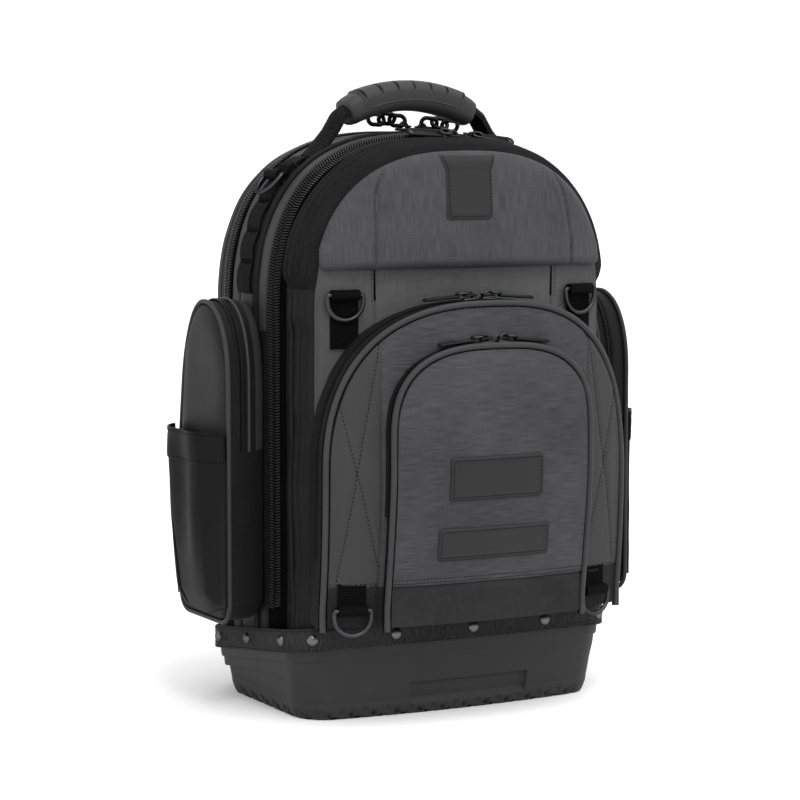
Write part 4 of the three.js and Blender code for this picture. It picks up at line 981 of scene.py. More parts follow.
def big_points(x, z):
    points = np.stack([x, big_face(x, z), z], -1)
    edge = np.minimum(smooth((BIG["half"] - np.abs(x)) / 16),
                      smooth((arch_top(BIG, x) - z) / 14))
    puff = 2.6 * edge
    seam = 1.4 * bump(np.abs(x), 96.5, 1.2) * (z > 70)
    channel = 0
    for side in (-1, 1):
        for (x0, z0), (x1, z1) in crossing_lines(side):
            along = np.hypot(x1 - x0, z1 - z0)
            away = np.abs((x - x0) * (z1 - z0) - (z - z0) * (x1 - x0)) / along
            channel = channel + 0.8 * np.exp(-((away / 2.2) ** 2)) * (z < z0) * (z > z1)
    hem = 1.0 * bump(z, TOE_TOP, 1.3)
    points[..., 1] += -puff + seam + channel + hem - 0.4
    points[..., 1] += drift(points, 30, 11) * 0.5
    return points


x, z, t = panel_grid(BIG, POCKET_FOOT, 3.4, 176, 130)
points = big_points(x, z)
big = Piece()
middle_x = (np.abs(x[1:, :-1]) + np.abs(x[:-1, :-1])) / 2
middle_z = (z[1:, :-1] + z[1:, 1:]) / 2
picks = np.where(
    middle_z < TOE_TOP,
    big.index("black_cloth"),
    np.where(middle_x > 96.5, big.index("smooth_grey"), big.index("ballistic")),
)
big.slab(points, 2.3, picks, inner=points + np.array([0, 2.3, 0]),
         cloth=np.stack([x + 200, z], -1))
for side in (-1, 1):
    for (x0, z0), (x1, z1) in crossing_lines(side):
        line_x, line_z = np.linspace(x0, x1, 60), np.linspace(z0, z1, 60)
        path = big_points(line_x[None], line_z[None])[0] - [0, 0.15, 0]
        big.stitches(path, (side * 0.3, -1, 0), "thread", radius=0.45)
    hem_x = np.linspace(side * 96.5, side * 132, 20)
    path = big_points(hem_x[None], np.full((1, 20), TOE_TOP + 2.0))[0] - [0, 0.2, 0]
    big.stitches(path, (0, -1, 0), "thread")
big.build("big_pocket_cloth", "cloth", ["big_pocket_face"])

big_wall = Piece()
pocket_gusset(big_wall, BIG, lambda x, z: front_face(x) - 0.4, big_face, 6.5, 21)
big_wall.build("big_pocket_wall", "dark_cloth", ["big_pocket_gusset"])
pocket_edge("big_pocket", BIG, big_face)


def small_points(x, z):
    points = np.stack([x, small_face(x, z), z], -1)
    edge = np.minimum(smooth((SMALL["half"] - np.abs(x)) / 15),
                      smooth((arch_top(SMALL, x) - z) / 13))
    puff = 3.0 * edge
    seam = 1.2 * bump(z, TOE_TOP - 1, 1.4)
    points[..., 1] += -puff + seam - 0.4
    points[..., 1] += drift(points, 34, 13) * 0.5
    return points


x, z, t = panel_grid(SMALL, TOE_TOP, 3.4, 140, 100)
points = small_points(x, z)
small = Piece()
small.slab(points, 2.3, "ballistic", inner=points + np.array([0, 2.3, 0]),
           cloth=np.stack([x + 200, z], -1))
line = np.linspace(-88, 88, 120)
for lift in (2.2, 5.2):
    path = small_points(line[None], np.full((1, 120), TOE_TOP + lift))[0] - [0, 0.2, 0]
    small.stitches(path, (0, -1, 0), "thread", pitch=3.0, length=2.1)
small.build("small_pocket_cloth", "cloth", ["small_pocket_face"])

x, z, t = panel_grid(SMALL, POCKET_FOOT, 3.4, 150, 30, top_limit=TOE_TOP - 0.5)
points = small_points(x, z)
points[..., 1] += drift(points * [1, 1, 1.5], 22, 15) * 1.5 * smooth((z - 84) / 10) + 0.3
toe = Piece()
toe.slab(points, 2.3, "toe_cloth", inner=points + np.array([0, 2.3, 0]))
toe.build("small_pocket_toe_cloth", "dark_cloth", ["small_pocket_toe"])

small_wall = Piece()
pocket_gusset(small_wall, SMALL, lambda x, z: big_face(x, z) - 2.4, small_face, 7.0, 23)
small_wall.build("small_pocket_wall", "dark_cloth", ["small_pocket_gusset"])
pocket_edge("small_pocket", SMALL, small_face)


PATCH_SHIFT = 1.5


def bare_patch(name, width, height, centre, replaced):
    """A plain moulded patch with a raised border and a row of stitches, left bare."""
    piece = Piece()
    s, r = np.linspace(-1, 1, 60), np.linspace(-1, 1, 34)
    x = np.broadcast_to((s * width / 2)[:, None], (60, 34)) - PATCH_SHIFT
    z = np.broadcast_to((centre + r * height / 2)[None, :], (60, 34))
    gap_x, gap_z = width / 2 - np.abs(x + PATCH_SHIFT), height / 2 - np.abs(z - centre)
    gap = np.minimum(gap_x, gap_z)
    corner = np.clip(3.0 - gap_x, 0, 3) ** 2 + np.clip(3.0 - gap_z, 0, 3) ** 2
    pull = np.where(corner > 9, 1 - 3 / np.sqrt(np.maximum(corner, 9.01)), 0)
    x = x - np.sign(x + PATCH_SHIFT) * pull * np.clip(3.0 - gap_x, 0, 3)
    z = z - np.sign(z - centre) * pull * np.clip(3.0 - gap_z, 0, 3)
    base = small_points(x, z)
    height_map = 1.5 * smooth(gap / 1.4) - 0.5 * smooth((gap - 4.0) / 1.2)
    points = base - np.stack([0 * x, 0.4 + height_map, 0 * x], -1)
    piece.slab(points, 1.5, "leather", inner=base - np.array([0, 0.3, 0]))
    inset = 2.9
    a, b = width / 2 - inset, height / 2 - inset
    ring = np.array([(-a, -b), (a, -b), (a, b), (-a, b), (-a, -b)])
    ring = resample(ring, 120)
    path = small_points(ring[:, 0][None] - PATCH_SHIFT, centre + ring[:, 1][None])[0]
    path = path - [0, 2.15, 0]
    piece.stitches(path, (0, -1, 0), "thread", pitch=2.8, length=2.0)
    piece.build(name, "leather", [replaced])


bare_patch("upper_patch_leather", 88, 36, 205, "upper_patch")
bare_patch("lower_patch_leather", 105, 27, 151, "lower_patch")


# Base


def plan_loop(taper, wall, per_corner=16, front=180, back=60, sides=100):
    """Plan of the base: a rounded rectangle with a bowed front, anticlockwise from the front."""
    radius, rear = (turn - 0.3 * taper - wall for turn in (EDGE_TURN, REAR_TURN))
    side = BODY["half"] - taper - wall
    low = FRONT_Y + taper + wall + radius
    high = BACK_Y - taper - wall - rear
    corners = (
        (side - radius, low, -90, radius, sides), (side - rear, high, 0, rear, back),
        (rear - side, high, 90, rear, sides), (radius - side, low, 180, radius, front),
    )
    points = []
    for n, (x0, y0, start, turn, following) in enumerate(corners):
        for k in range(per_corner):
            angle = math.radians(start + 90 * k / (per_corner - 1))
            points.append((x0 + turn * math.cos(angle), y0 + turn * math.sin(angle)))
        x1, y1, start, turn, _ = corners[(n + 1) % 4]
        angle = math.radians(start)
        end, target = points[-1], (x1 + turn * math.cos(angle), y1 + turn * math.sin(angle))
        for k in range(1, following + 1):
            share = k / (following + 1)
            points.append((lerp(end[0], target[0], share), lerp(end[1], target[1], share)))
    points = np.array(points)
    share = np.clip((low - points[:, 1]) / radius, 0, 1)
    points[:, 1] -= front_bow(points[:, 0]) * share
    return points


def base_tray():
    """Moulded tray: lip, drafted wall with a low panel in front, and treads round the foot."""
    levels = [
        # z above the rim or the floor, follows the rim, taper, step in
        (12.0, 1, 0.0, 0.3), (0.5, 1, 0.0, 0.3), (-0.5, 1, 0.0, 0.5), (-7.0, 1, 0.04, 0.6),
        (-8.0, 1, 0.05, 1.0), (-8.6, 1, 0.06, 2.0), (-10.0, 1, 0.07, 2.2), (-16.0, 1, 0.13, 2.2),
        (28.6, 0, 0.39, 2.2), (27.8, 0, 0.4, 2.2), (26.8, 0, 0.41, 2.2), (20.0, 0, 0.5, 2.2),
        (14.6, 0, 0.59, 2.2), (13.8, 0, 0.61, 2.5), (13.0, 0, 0.63, 1.3), (8.6, 0, 0.7, 1.0),
        (7.0, 0, 0.74, 1.0), (2.6, 0, 0.86, 1.2), (0.8, 0, 0.95, 2.2), (0.0, 0, 1.0, 4.5),
    ]
    rows = []
    for z, follow, taper, step in levels:
        loop = plan_loop(taper * TRAY_TAPER + step * (1 - taper), 0)
        height = rim_height(loop[:, 1]) * follow + z
        run = run_along(loop)
        scallop = 0.0
        if not follow and z <= 8.0:
            wave = np.cos(run * 2 * np.pi / 21.0)
            scallop = 3.4 * smooth((8.4 - z) / 3) * smooth((wave - 0.72) / 0.1)
        out = np.stack([loop[:, 0] / 150, (loop[:, 1] + 7) / 93], 1)
        out = unit(signed_power(out, 6))
        loop = loop - out * np.broadcast_to(scallop, run.shape)[:, None]
        panel = 0
        if not follow and z < 28:
            inside = smooth((57 - np.abs(loop[:, 0] - 8)) / 1.5) * (loop[:, 1] < -60)
            panel = 3.6 * inside * smooth((27.7 - z) / 0.8) * smooth((z - 8) / 4)
        loop = loop + np.stack([0 * run, np.broadcast_to(panel, run.shape)], 1)
        rows.append(np.column_stack([loop, height]))
    inner = []
    for z, follow, taper in ((0.0, 0, 1.0), (9.0, 0, 0.8), (-7.0, 1, 0.1), (12.0, 1, 0.0)):
        loop = plan_loop(taper * TRAY_TAPER + 1.0, 3.0 if z else 6.0)
        height = rim_height(loop[:, 1]) * follow + (z or 4.0)
        inner.append(np.column_stack([loop, height]))
    rows = np.array(rows + inner)
    cloth = measure(rows)
    piece = Piece()
    number = piece.index("rubber")
    r, c = rows.shape[:2]
    faces, finish = [], []
    cut = len(levels) - 1
    for i in range(r):
        if i == cut:
            continue
        a, b = i * c, ((i + 1) % r) * c
        for j in range(c):
            k = (j + 1) % c
            faces.append((a + j, a + k, b + k, b + j))
            finish.append(number)
    points = rows.reshape(-1, 3)
    extra = []
    for ring in (cut, cut + 1):
        centre = len(points) + len(extra)
        extra.append(rows[ring].mean(0))
        for j in range(c):
            k = (j + 1) % c
            face = (ring * c + j, ring * c + k, centre)
            faces.append(face if ring == cut else face[::-1])
            finish.append(number)
    points = np.vstack([points, extra])
    flat = np.vstack([cloth.reshape(-1, 2), np.zeros((2, 2))])
    piece.add(points, faces, flat, finish)
    return piece


base_tray().build("base_moulded", "rubber", ["base_tray"])

RIVETS = (
    [(k * 72.0 + 5, front_face(k * 72.0 + 5), 0.0) for k in (-1, 0, 1)]
    + [(s * 72.0, BACK_Y, 180.0) for s in (-1, 1)]
)
for s in (-1, 1):
    RIVETS.append((s * 136.5, -98.4, s * 29.0))
    for y in (-74.0, -7.0, 51.0):
        RIVETS.append((s * 150.0, y, s * 90.0))

band = Piece()
lift = 2.0
loops = []
for out, drop in ((0.0, 0.3), (1.6, 0.3), (2.2, 1.2), (2.2, 5.0), (2.0, 10.0), (2.2, 15.0),
                  (2.2, 18.8), (1.6, 19.7), (0.0, 19.7)):
    loop = plan_loop(0, -lift - out)
    loops.append(np.column_stack([loop, rim_height(loop[:, 1]) + drop]))
rings = np.array(loops).transpose(1, 0, 2)
run = run_along(rings[:, 0])
cloth = np.stack(np.meshgrid(run, np.linspace(0, 20, rings.shape[1]), indexing="ij"), -1)
band.shell(rings, cloth, "band", wrap_rows=True)
for height in (1.8, 18.2):
    loop = plan_loop(0, -lift - 2.25)
    path = np.column_stack([loop, rim_height(loop[:, 1]) + height])
    normal = unit(np.column_stack([loop[:, 0] / 150, (loop[:, 1] + 7) / 93, 0 * loop[:, 0]]) ** 5)
    band.stitches(np.vstack([path, path[:1]]), np.vstack([normal, normal[:1]]), "thread",
                  pitch=3.2)
for px, py, turn in RIVETS:
    a = math.radians(turn)
    out = np.array([math.sin(a), -math.cos(a), 0.0])
    across = np.array([math.cos(a), math.sin(a), 0.0])
    up = np.array([0.0, 0.0, 1.0])
    centre = np.array([px, py, rim_height(py) + 10.5]) + out * (lift + 2.0)
    rings = []
    for radius, height in ((4.6, -0.6), (5.0, 0.2), (4.8, 0.8), (3.9, 1.9), (2.6, 2.7), (1.1, 3.1),
                           (0.05, 3.2)):
        angle = np.arange(20) * 2 * np.pi / 20
        rings.append(centre + out * height + radius * (np.cos(angle)[:, None] * across
                                                       + np.sin(angle)[:, None] * up))
    rings = np.array(rings)
    band.shell(rings, np.zeros(rings.shape[:2] + (2,)), "rivet_metal")
band.build("base_band_webbing", "webbing", ["base_band"])


# D-rings and webbing tabs


def ring_frame(node):
    """Place and axes of a ring, from its hinge."""
    joint = next(j for j in frame["joints"] if j["child"] == node)
    place = np.array(joint["pos_m"]) * 1000 - [0, SHIFT_Y, 0]
    bar = -np.array(joint["axis"], float)
    lowest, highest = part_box(node)
    middle = (np.array(lowest) + np.array(highest)) * 500 - [0, SHIFT_Y, 0]
    hang = middle - place
    hang = unit(hang - bar * np.dot(hang, bar))
    if node.startswith("lower"):
        place = place - bar * np.sign(bar[0]) * 5.0
    return place, bar, hang, np.cross(hang, bar)


def add_ring(node, tab_node, tail, tail_along_hang):
    place, bar, hang, off = ring_frame(node)
    piece = Piece()
    radius, leg, wire = 15.5, 5.0, 1.9
    arc = [bar * radius * math.cos(a) + hang * (leg + radius * math.sin(a))
           for a in np.linspace(0, math.pi, 40)]
    base = [bar * s for s in np.linspace(-radius * 0.97, radius * 0.97, 12)]
    path = np.array(base + [bar * radius + hang * leg * q for q in (0.25, 0.6)] + arc
                    + [-bar * radius + hang * leg * q for q in (0.6, 0.25)]) + place
    piece.tube(path, wire, "metal", 12, closed=True, up=off)
    piece.build(node.replace("_ring", "_d_ring"), "metal", [node], body=node)
    towards = unit(np.cross(bar, hang))
    if np.dot(towards, into_cloth[node]) < 0:
        towards = -towards
    tab = Piece()
    half = 12.0
    bore, thick = 2.5, 1.9
    way = hang if tail_along_hang else -hang
    section = []
    for a in np.linspace(0, 2 * math.pi, 28, endpoint=False):
        section.append((math.cos(a), math.sin(a)))
    s = np.linspace(-half, half, 14)
    rings = []
    for b in s:
        outer = [place + bar * b + (hang * p + towards * q) * (bore + thick) for p, q in section]
        inner = [place + bar * b + (hang * p + towards * q) * bore for p, q in section[::-1]]
        rings.append(outer + inner)
    rings = np.array(rings)
    r, c = rings.shape[:2]
    m = len(section)
    faces, number = [], tab.index("webbing")
    for i in range(r - 1):
        for j in range(m):
            k = (j + 1) % m
            faces.append((i * c + j, i * c + k, (i + 1) * c + k, (i + 1) * c + j))
            faces.append((i * c + m + j, i * c + m + k, (i + 1) * c + m + k, (i + 1) * c + m + j))
    for i in (0, r - 1):
        for j in range(m):
            k = (j + 1) % m
            faces.append((i * c + j, i * c + k, i * c + c - 1 - k, i * c + c - 1 - j))
    around = np.r_[np.linspace(0, 26, m), np.linspace(26, 0, m)]
    cloth = np.stack(np.meshgrid(s + half, around, indexing="ij"), -1)
    tab.add(rings.reshape(-1, 3), faces, cloth.reshape(-1, 2), [number] * len(faces))
    run = np.linspace(-bore - 1.0, tail, max(6, int(tail / 2)))
    across = np.linspace(-half, half, 12)
    outer = np.array([[place + bar * b + way * d + towards * bore for b in across] for d in run])
    inner = outer + towards * thick
    cloth = np.stack(np.meshgrid(run, across + half, indexing="ij"), -1)[..., ::-1]
    tab.slab(outer, thick, "webbing", inner=inner, cloth=cloth)
    for d in np.arange(bore + 4.0, tail - 3, 2.4)[:6]:
        if tail > 12:
            path = np.array([place + bar * b + way * d + towards * (bore - 0.1)
                             for b in np.linspace(-half + 1.5, half - 1.5, 10)])
            tab.stitches(path, -towards, "thread", pitch=1.6, length=1.5)
    tab.build(tab_node + "_webbing", "webbing", [tab_node])


into_cloth = {}
for s, name in ((-1, "left"), (1, "right")):
    into_cloth[f"upper_ring_{name}"] = np.array([0.0, 1.0, 0.0])
    into_cloth[f"lower_ring_{name}"] = np.array([0.0, 1.0, 0.0])
    into_cloth[f"side_ring_{name}"] = np.array([-s * 0.75, 0.0, -0.66])
    add_ring(f"upper_ring_{name}", f"upper_tab_{name}", 44, True)
    add_ring(f"lower_ring_{name}", f"lower_tab_{name}", 22, False)
    add_ring(f"side_ring_{name}", f"side_tab_{name}", 15, False)


# Daisy-chain webbing, handle and grip

for s, name in ((-1, "left"), (1, "right")):
    path = arch(BODY, 300, 700)
    normal = outward(path)
    keep = (path[:, 0] < -96) & (path[:, 1] > 351)
    path, normal = path[keep], normal[keep]
    path, normal = resample(path, 90), unit(resample(normal, 90))
    run = np.linspace(0, length_of(path), 90)
    bulge = np.abs(np.sin(np.pi * run / 26.0)) ** 0.6 * 2.6
    lift = 1.0 + bulge
    across = np.linspace(-WEB / 2, WEB / 2, 14)
    x = path[:, 0] + normal[:, 0] * lift
    z = path[:, 1] + normal[:, 1] * lift
    outer = np.stack([
        np.broadcast_to((-s * x)[:, None], (90, 14)),
        np.broadcast_to((WEB_Y + across)[None, :], (90, 14)),
        np.broadcast_to(z[:, None], (90, 14)),
    ], -1)
    out = np.stack([-s * normal[:, 0], 0 * run, normal[:, 1]], 1)[:, None]
    web = Piece()
    web.slab(outer + out * 1.7, 1.7, "webbing", inner=outer,
             cloth=cloth_across(across + 20, run))
    for k in range(1, int(run[-1] / 26.0) + 1):
        i = int(np.argmin(np.abs(run - 26.0 * k)))
        for step in (-1, 0, 1):
            row = outer[min(89, max(0, i + step)), 1:-1] + out[i] * 1.8
            web.stitches(row, out[i, 0], "thread", pitch=1.5, length=1.6, radius=0.45)
    web.build(f"side_webbing_cloth_{name}", "webbing", [f"side_webbing_{name}"])

GRIP_HALF = 60.0
GRIP_MIDDLE = 2.0
GRIP_END_Z = 503.0
GRIP_RISE = 14.0

for s, name in ((-1, "left"), (1, "right")):
    foot_z = arch_top(BODY, 90.0) + 1.6
    control = np.array([
        (98.0, foot_z - 5.5), (94.5, foot_z - 2.0), (90.0, foot_z + 2.5), (84.0, foot_z + 9.5),
        (77.5, foot_z + 17.0), (69.0, GRIP_END_Z - 3.0), (62.0, GRIP_END_Z + 2.0),
        (56.0, GRIP_END_Z + 5.0),
    ])
    path = resample(control, 40)
    t = unit(np.gradient(path, axis=0))
    normal = np.stack([t[:, 1], -t[:, 0]], 1)
    normal *= np.sign(normal[:, :1])
    across = np.linspace(-WEB / 2, WEB / 2, 12)
    curl = 5.6 * (1 - (across / 12.5) ** 2) - 1.6
    x = path[:, 0][:, None] + normal[:, 0][:, None] * (curl + 1.0)[None]
    z = path[:, 1][:, None] + normal[:, 1][:, None] * (curl + 1.0)[None]
    outer = np.stack([s * x + 3.5, np.broadcast_to((WEB_Y + across)[None], x.shape), z], -1)
    shift = np.stack([s * normal[:, 0], 0 * t[:, 0], normal[:, 1]], 1)[:, None] * 3.4
    run = np.linspace(0, length_of(path), 40)
    strap = Piece()
    strap.slab(outer, 3.4, "strap_webbing", inner=outer - shift,
               cloth=cloth_across(across + 20, run))
    strap.build(f"handle_webbing_{name}", "webbing", [f"handle_strap_{name}"])

grip = Piece()
stations, sides = 300, 48
t = np.linspace(-1, 1, stations)
rings = []
for share in t:
    x = share * GRIP_HALF + GRIP_MIDDLE
    z = GRIP_END_Z + GRIP_RISE * (1 - share * share)
    lean = math.atan(2 * GRIP_RISE * share / GRIP_HALF)
    end = 1.02 - 0.05 * smooth((abs(share) - 0.94) / 0.06)
    angle = np.linspace(0, 2 * np.pi, sides, endpoint=False)
    power = 0.72
    wide = 15.5 * signed_power(np.cos(angle), power) * end
    high = 12.0 * signed_power(np.sin(angle), power) * end
    along = x + 0 * angle
    upper = smooth((np.sin(angle) - 0.02) / 0.12) * smooth((0.8 - abs(share)) / 0.02)
    groove = smooth((np.cos(share * GRIP_HALF * 2 * np.pi / 15.0) - 0.9) / 0.06)
    high = high + upper * 1.9 - upper * groove * 2.9
    wide = wide * (1 + 0.04 * upper)
    slant = (high + 11) * 0.18 * share * smooth((abs(share) - 0.8) / 0.2)
    rings.append(np.stack([
        along + high * math.sin(lean) - slant * 0.6, WEB_Y + wide, z + high * math.cos(lean)
    ], 1))
rings = np.array(rings)
closing = []
for ring, way in ((rings[0], -1), (rings[-1], 1)):
    centre = ring.mean(0)
    closing.append(np.array([centre + (ring - centre) * 0.95 + [way * 0.9, 0, way * 0.0],
                             centre + (ring - centre) * 0.82 + [way * 1.5, 0, 0],
                             centre + (ring - centre) * 0.4 + [way * 1.5, 0, 0],
                             centre + (ring - centre) * 0.02 + [way * 1.5, 0, 0]]))
rings = np.concatenate([closing[0][::-1], rings, closing[1]])
grip.shell(rings, measure(rings), "grip_rubber")
# A thin, lighter cord along the front ledge of the grip: a painted highlight line.
span = rings[48:-48:4]
ledge = np.stack([ring[(sides // 2 + 1):sides][np.argmin(np.abs(
    ring[(sides // 2 + 1):sides, 2] - ring[:, 2].mean() - 1.5))] for ring in span])
grip.tube(ledge + [0, -0.3, 0], 0.55, "painted_highlight_line", 6)
grip.build("grip_moulded", "rubber", ["handle_grip"])


# Side pockets

SIDE_START = 151.6
SIDE_REACH = 43.0


def side_outline(front, back, low, top, shoulder, count, corner=16.0, power=2.3):
    """Outline of a side pocket as (y, z) points from the lower middle round the front."""
    half, middle = (back - front) / 2, (back + front) / 2
    angle = np.linspace(0, np.pi, 500)
    c, s = np.cos(angle), np.sin(angle)
    y = -np.sign(c) * half * np.abs(c) ** (2 / power)
    z = shoulder + (top - shoulder) * s ** (2 / power)
    upper = np.stack([y, z], 1)
    turn = np.linspace(0, np.pi / 2, 24)
    right = np.stack([half - corner + corner * np.cos(turn), low + corner - corner * np.sin(turn)],
                     1)
    left = np.stack([-half + corner - corner * np.sin(turn),
                     low + corner - corner * np.cos(turn)], 1)
    points = np.vstack([[0, low], left[:1], left, upper, right, [0, low]])
    points = resample(points, count + 1)[:-1]
    return points + [middle, 0]


def side_ring(reach, inset, count=200):
    """One ring of the pocket: from the seam on the body (reach 0) to its face (reach 1)."""
    ease = reach ** 0.85
    front, back = lerp(-37.0, -58.0, ease), lerp(48.0, 39.0, ease)
    low = lerp(84.0, 82.0, ease)
    ring = side_outline(front + inset, back - inset, low + inset, 345.0 - inset, 275.0, count)
    ring[:, 0] -= rear_lean(ring[:, 0], ring[:, 1]) * reach
    return ring


def rear_lean(y, z):
    """How far the top of a side pocket leans away from its rear edge."""
    return 13.0 * smooth((z - 205) / 125) * smooth((y + 30) / 66)


def side_pocket(s, name):
    pocket = Piece()
    rings = []
    rows = (
        # reach, inset
        (0.0, 1.0), (0.05, 0.2), (0.12, -0.6), (0.25, -1.4), (0.4, -1.8), (0.55, -1.8),
        (0.7, -1.4), (0.82, -0.8), (0.9, -0.2), (0.95, 0.3),
    )
    for reach, inset in rows:
        ring = side_ring(reach, inset)
        x = np.full(len(ring), SIDE_START + reach * SIDE_REACH)
        points = np.column_stack([x, ring])
        amount = drift(points, 26, 31) * 1.6 + drift(points, 11, 32) * 0.6
        amount = amount * (1 + 0.9 * smooth((225 - points[:, 2]) / 20))
        points[:, 1:] += unit(ring - ring.mean(0)) * (amount * math.sin(math.pi * reach))[:, None]
        rings.append(points)
    inner = []
    for reach, inset in ((0.9, 3.0), (0.5, 2.4), (0.0, 3.2)):
        ring = side_ring(reach, inset)
        inner.append(np.column_stack([np.full(len(ring), SIDE_START + reach * SIDE_REACH), ring]))
    rings = np.array(rings)
    outer = rings.transpose(1, 0, 2)
    inside = np.array(inner).transpose(1, 0, 2)
    tube = np.concatenate([outer, inside], 1)
    cloth = measure(tube)
    front_side = outer[:, 5, 1] < -30
    upper = outer[:, 5, 2] > 222
    picks = np.full((len(tube), tube.shape[1]), pocket.index("black_cloth"))
    zip_part = (front_side | (outer[:, 5, 2] > 300)) & upper
    picks[zip_part, 0:3] = pocket.index("smooth_grey")
    turned = tube * [s, 1, 1]
    pocket.shell(turned, cloth, picks, wrap_rows=True)

    # The face, with its crown
    half, middle, turn = 47.3, -9.5, 16.0
    u = np.sin(np.linspace(-np.pi / 2, np.pi / 2, 90)) * half
    top = arch_top(dict(half=half, shoulder=275.0, top=343.8, power=2.3), u)
    low = 83.2 + turn - np.sqrt(np.maximum(0, turn ** 2 - np.maximum(
        0, np.abs(u) - (half - turn)) ** 2))
    t = (1 - np.cos(np.pi * np.linspace(0, 1, 130))) / 2
    z = low[:, None] + (top - low)[:, None] * t[None, :]
    y = np.broadcast_to(u[:, None], z.shape)
    edge = np.minimum(half - np.abs(y), np.minimum(top[:, None] - z, z - low[:, None]))
    rise = np.sqrt(1 - (1 - np.clip(edge / 22, 0, 1)) ** 2)
    x = SIDE_START + SIDE_REACH - 1.5 + 4.4 * rise
    y = y + middle
    y = y - rear_lean(y, z)
    face = np.stack([x + drift(np.stack([x, y, z], -1), 45, 33) * 0.8 * rise, y, z], -1)
    # Above z 236 the face takes the darker copy of the grey twill: painted shade.
    finish = np.where(z[1:, :-1] > 236, pocket.index("shaded_side_grey"), pocket.index("pocket_black"))
    pocket.slab(face * [s, 1, 1], 2.4, finish, inner=(face - [2.4, 0, 0]) * [s, 1, 1],
                cloth=np.stack([y + 100, z], -1))

    # Zip along the front and over the top
    ring = side_ring(0.66, -2.4)
    keep = ((ring[:, 0] < -20) & (ring[:, 1] > 223)) | (ring[:, 1] > 318)
    keep &= ring[:, 0] < 26
    path = np.column_stack([np.full(len(ring), SIDE_START + 0.66 * SIDE_REACH), ring])[keep]
    edge = np.gradient(path, axis=0)
    out = unit(np.cross(np.tile([1.0, 0, 0], (len(path), 1)), edge))
    out *= np.sign((out * (path - [0, -5, 240])).sum(1, keepdims=True))
    side = np.tile([float(s), 0, 0], (len(path), 1))
    pocket.coil(path * [s, 1, 1], side, out, 7.0, "pocket_coil", pitch=2.1, high=0.8)
    pocket.build(f"side_pocket_cloth_{name}", "dark_cloth", [f"side_pocket_{name}"])

    cord = Piece()
    ring = side_ring(0.965, -1.2)
    path = np.column_stack([np.full(len(ring), SIDE_START + 0.965 * SIDE_REACH), ring])
    cord.tube(path * [s, 1, 1], 2.0, "side_piping", 8, closed=True, up=(1, 0, 0))
    ring = side_ring(0.45, -2.4)
    keep = (ring[:, 1] > 222) & (ring[:, 0] < 20)
    path = np.column_stack([np.full(len(ring), SIDE_START + 0.45 * SIDE_REACH), ring])[keep]
    cord.tube(path * [s, 1, 1], 1.5, "piping", 8, up=(1, 0, 0))
    cord.build(f"side_pocket_cord_{name}", "piping", [f"side_piping_{name}"])

    # Open sleeve, slack at its hem
    sleeve = Piece()
    rows, cols = 80, 70
    u, t = np.linspace(-1, 1, rows), np.linspace(0, 1, cols)
    half, middle = 47.0, -9.5
    low, high = 86.0, 240.0
    z = lerp(low, high, t)[None, :] + 0 * u[:, None]
    y = middle + half * np.where(u < 0, 1.05, 1.0)[:, None] * u[:, None] + 0 * t[None, :]
    rear_side = np.where(u > 0, 7.0, 2.6)[:, None]
    bulge = 13.0 * (1 - np.abs(u[:, None]) ** rear_side) * np.sqrt(t[None, :])
    fold = 1.6 * np.sin((u[:, None] * 2.1 + 0.9 + 0.5 * t[None, :]) * math.pi)
    fold = fold * smooth((t[None, :] - 0.1) / 0.4) * (1 - np.abs(u[:, None]) ** 3)
    edge = np.minimum(48.5 - np.abs(y - middle), z - 82)
    crown = 4.0 * np.clip((edge - 5) / 17, 0, 1)
    x = SIDE_START + SIDE_REACH + crown + 0.8 + bulge + fold
    pleat = lerp(22.0, 37.0, t)[None, :]
    dart = 3.2 * bump(y - middle, pleat, 1.6) * smooth((0.86 - t[None, :]) / 0.05)
    strip = 0.9 * smooth((y - middle - pleat) / 1.5) * (z < 212)
    hem = 1.2 * smooth((z - 214) / 0.8) - 0.9 * bump(z, 236.5, 1.0) - 1.0 * bump(z, 214.5, 0.9)
    x = x - dart + strip + hem
    x = x + drift(np.stack([x, y, z], -1), 22, 35) * 1.2 * (t[None, :] ** 0.5)
    y = y + 4.0 * smooth((u[:, None] - 0.75) / 0.25) * t[None, :] ** 0.5
    corner = smooth((u[:, None] ** 2 + (1 - t[None, :]) ** 2 * 1.4 - 1.35) / 0.9)
    z = z + corner * 9
    outer = np.stack([x + 1.9, y, z], -1) * [s, 1, 1]
    inner = np.stack([x, y, z], -1) * [s, 1, 1]
    sleeve.slab(outer, 1.9, "pocket_black", inner=inner)
    for row in (int(cols * 0.985), int(cols * 0.83)):
        sleeve.stitches(outer[:, min(cols - 1, row)] + [s * 0.1, 0, 0], (s, 0, 0), "thread",
                        pitch=3.0)
    sleeve.build(f"sleeve_cloth_{name}", "dark_cloth", [f"sleeve_{name}"])


for s, name in ((-1, "left"), (1, "right")):
    side_pocket(s, name)


# Back panel and shoulder straps

BACK_SEAT = BACK_Y + 2.0 + 2.2 + 2.4 + 0.4
BACK_THICK = 18.0


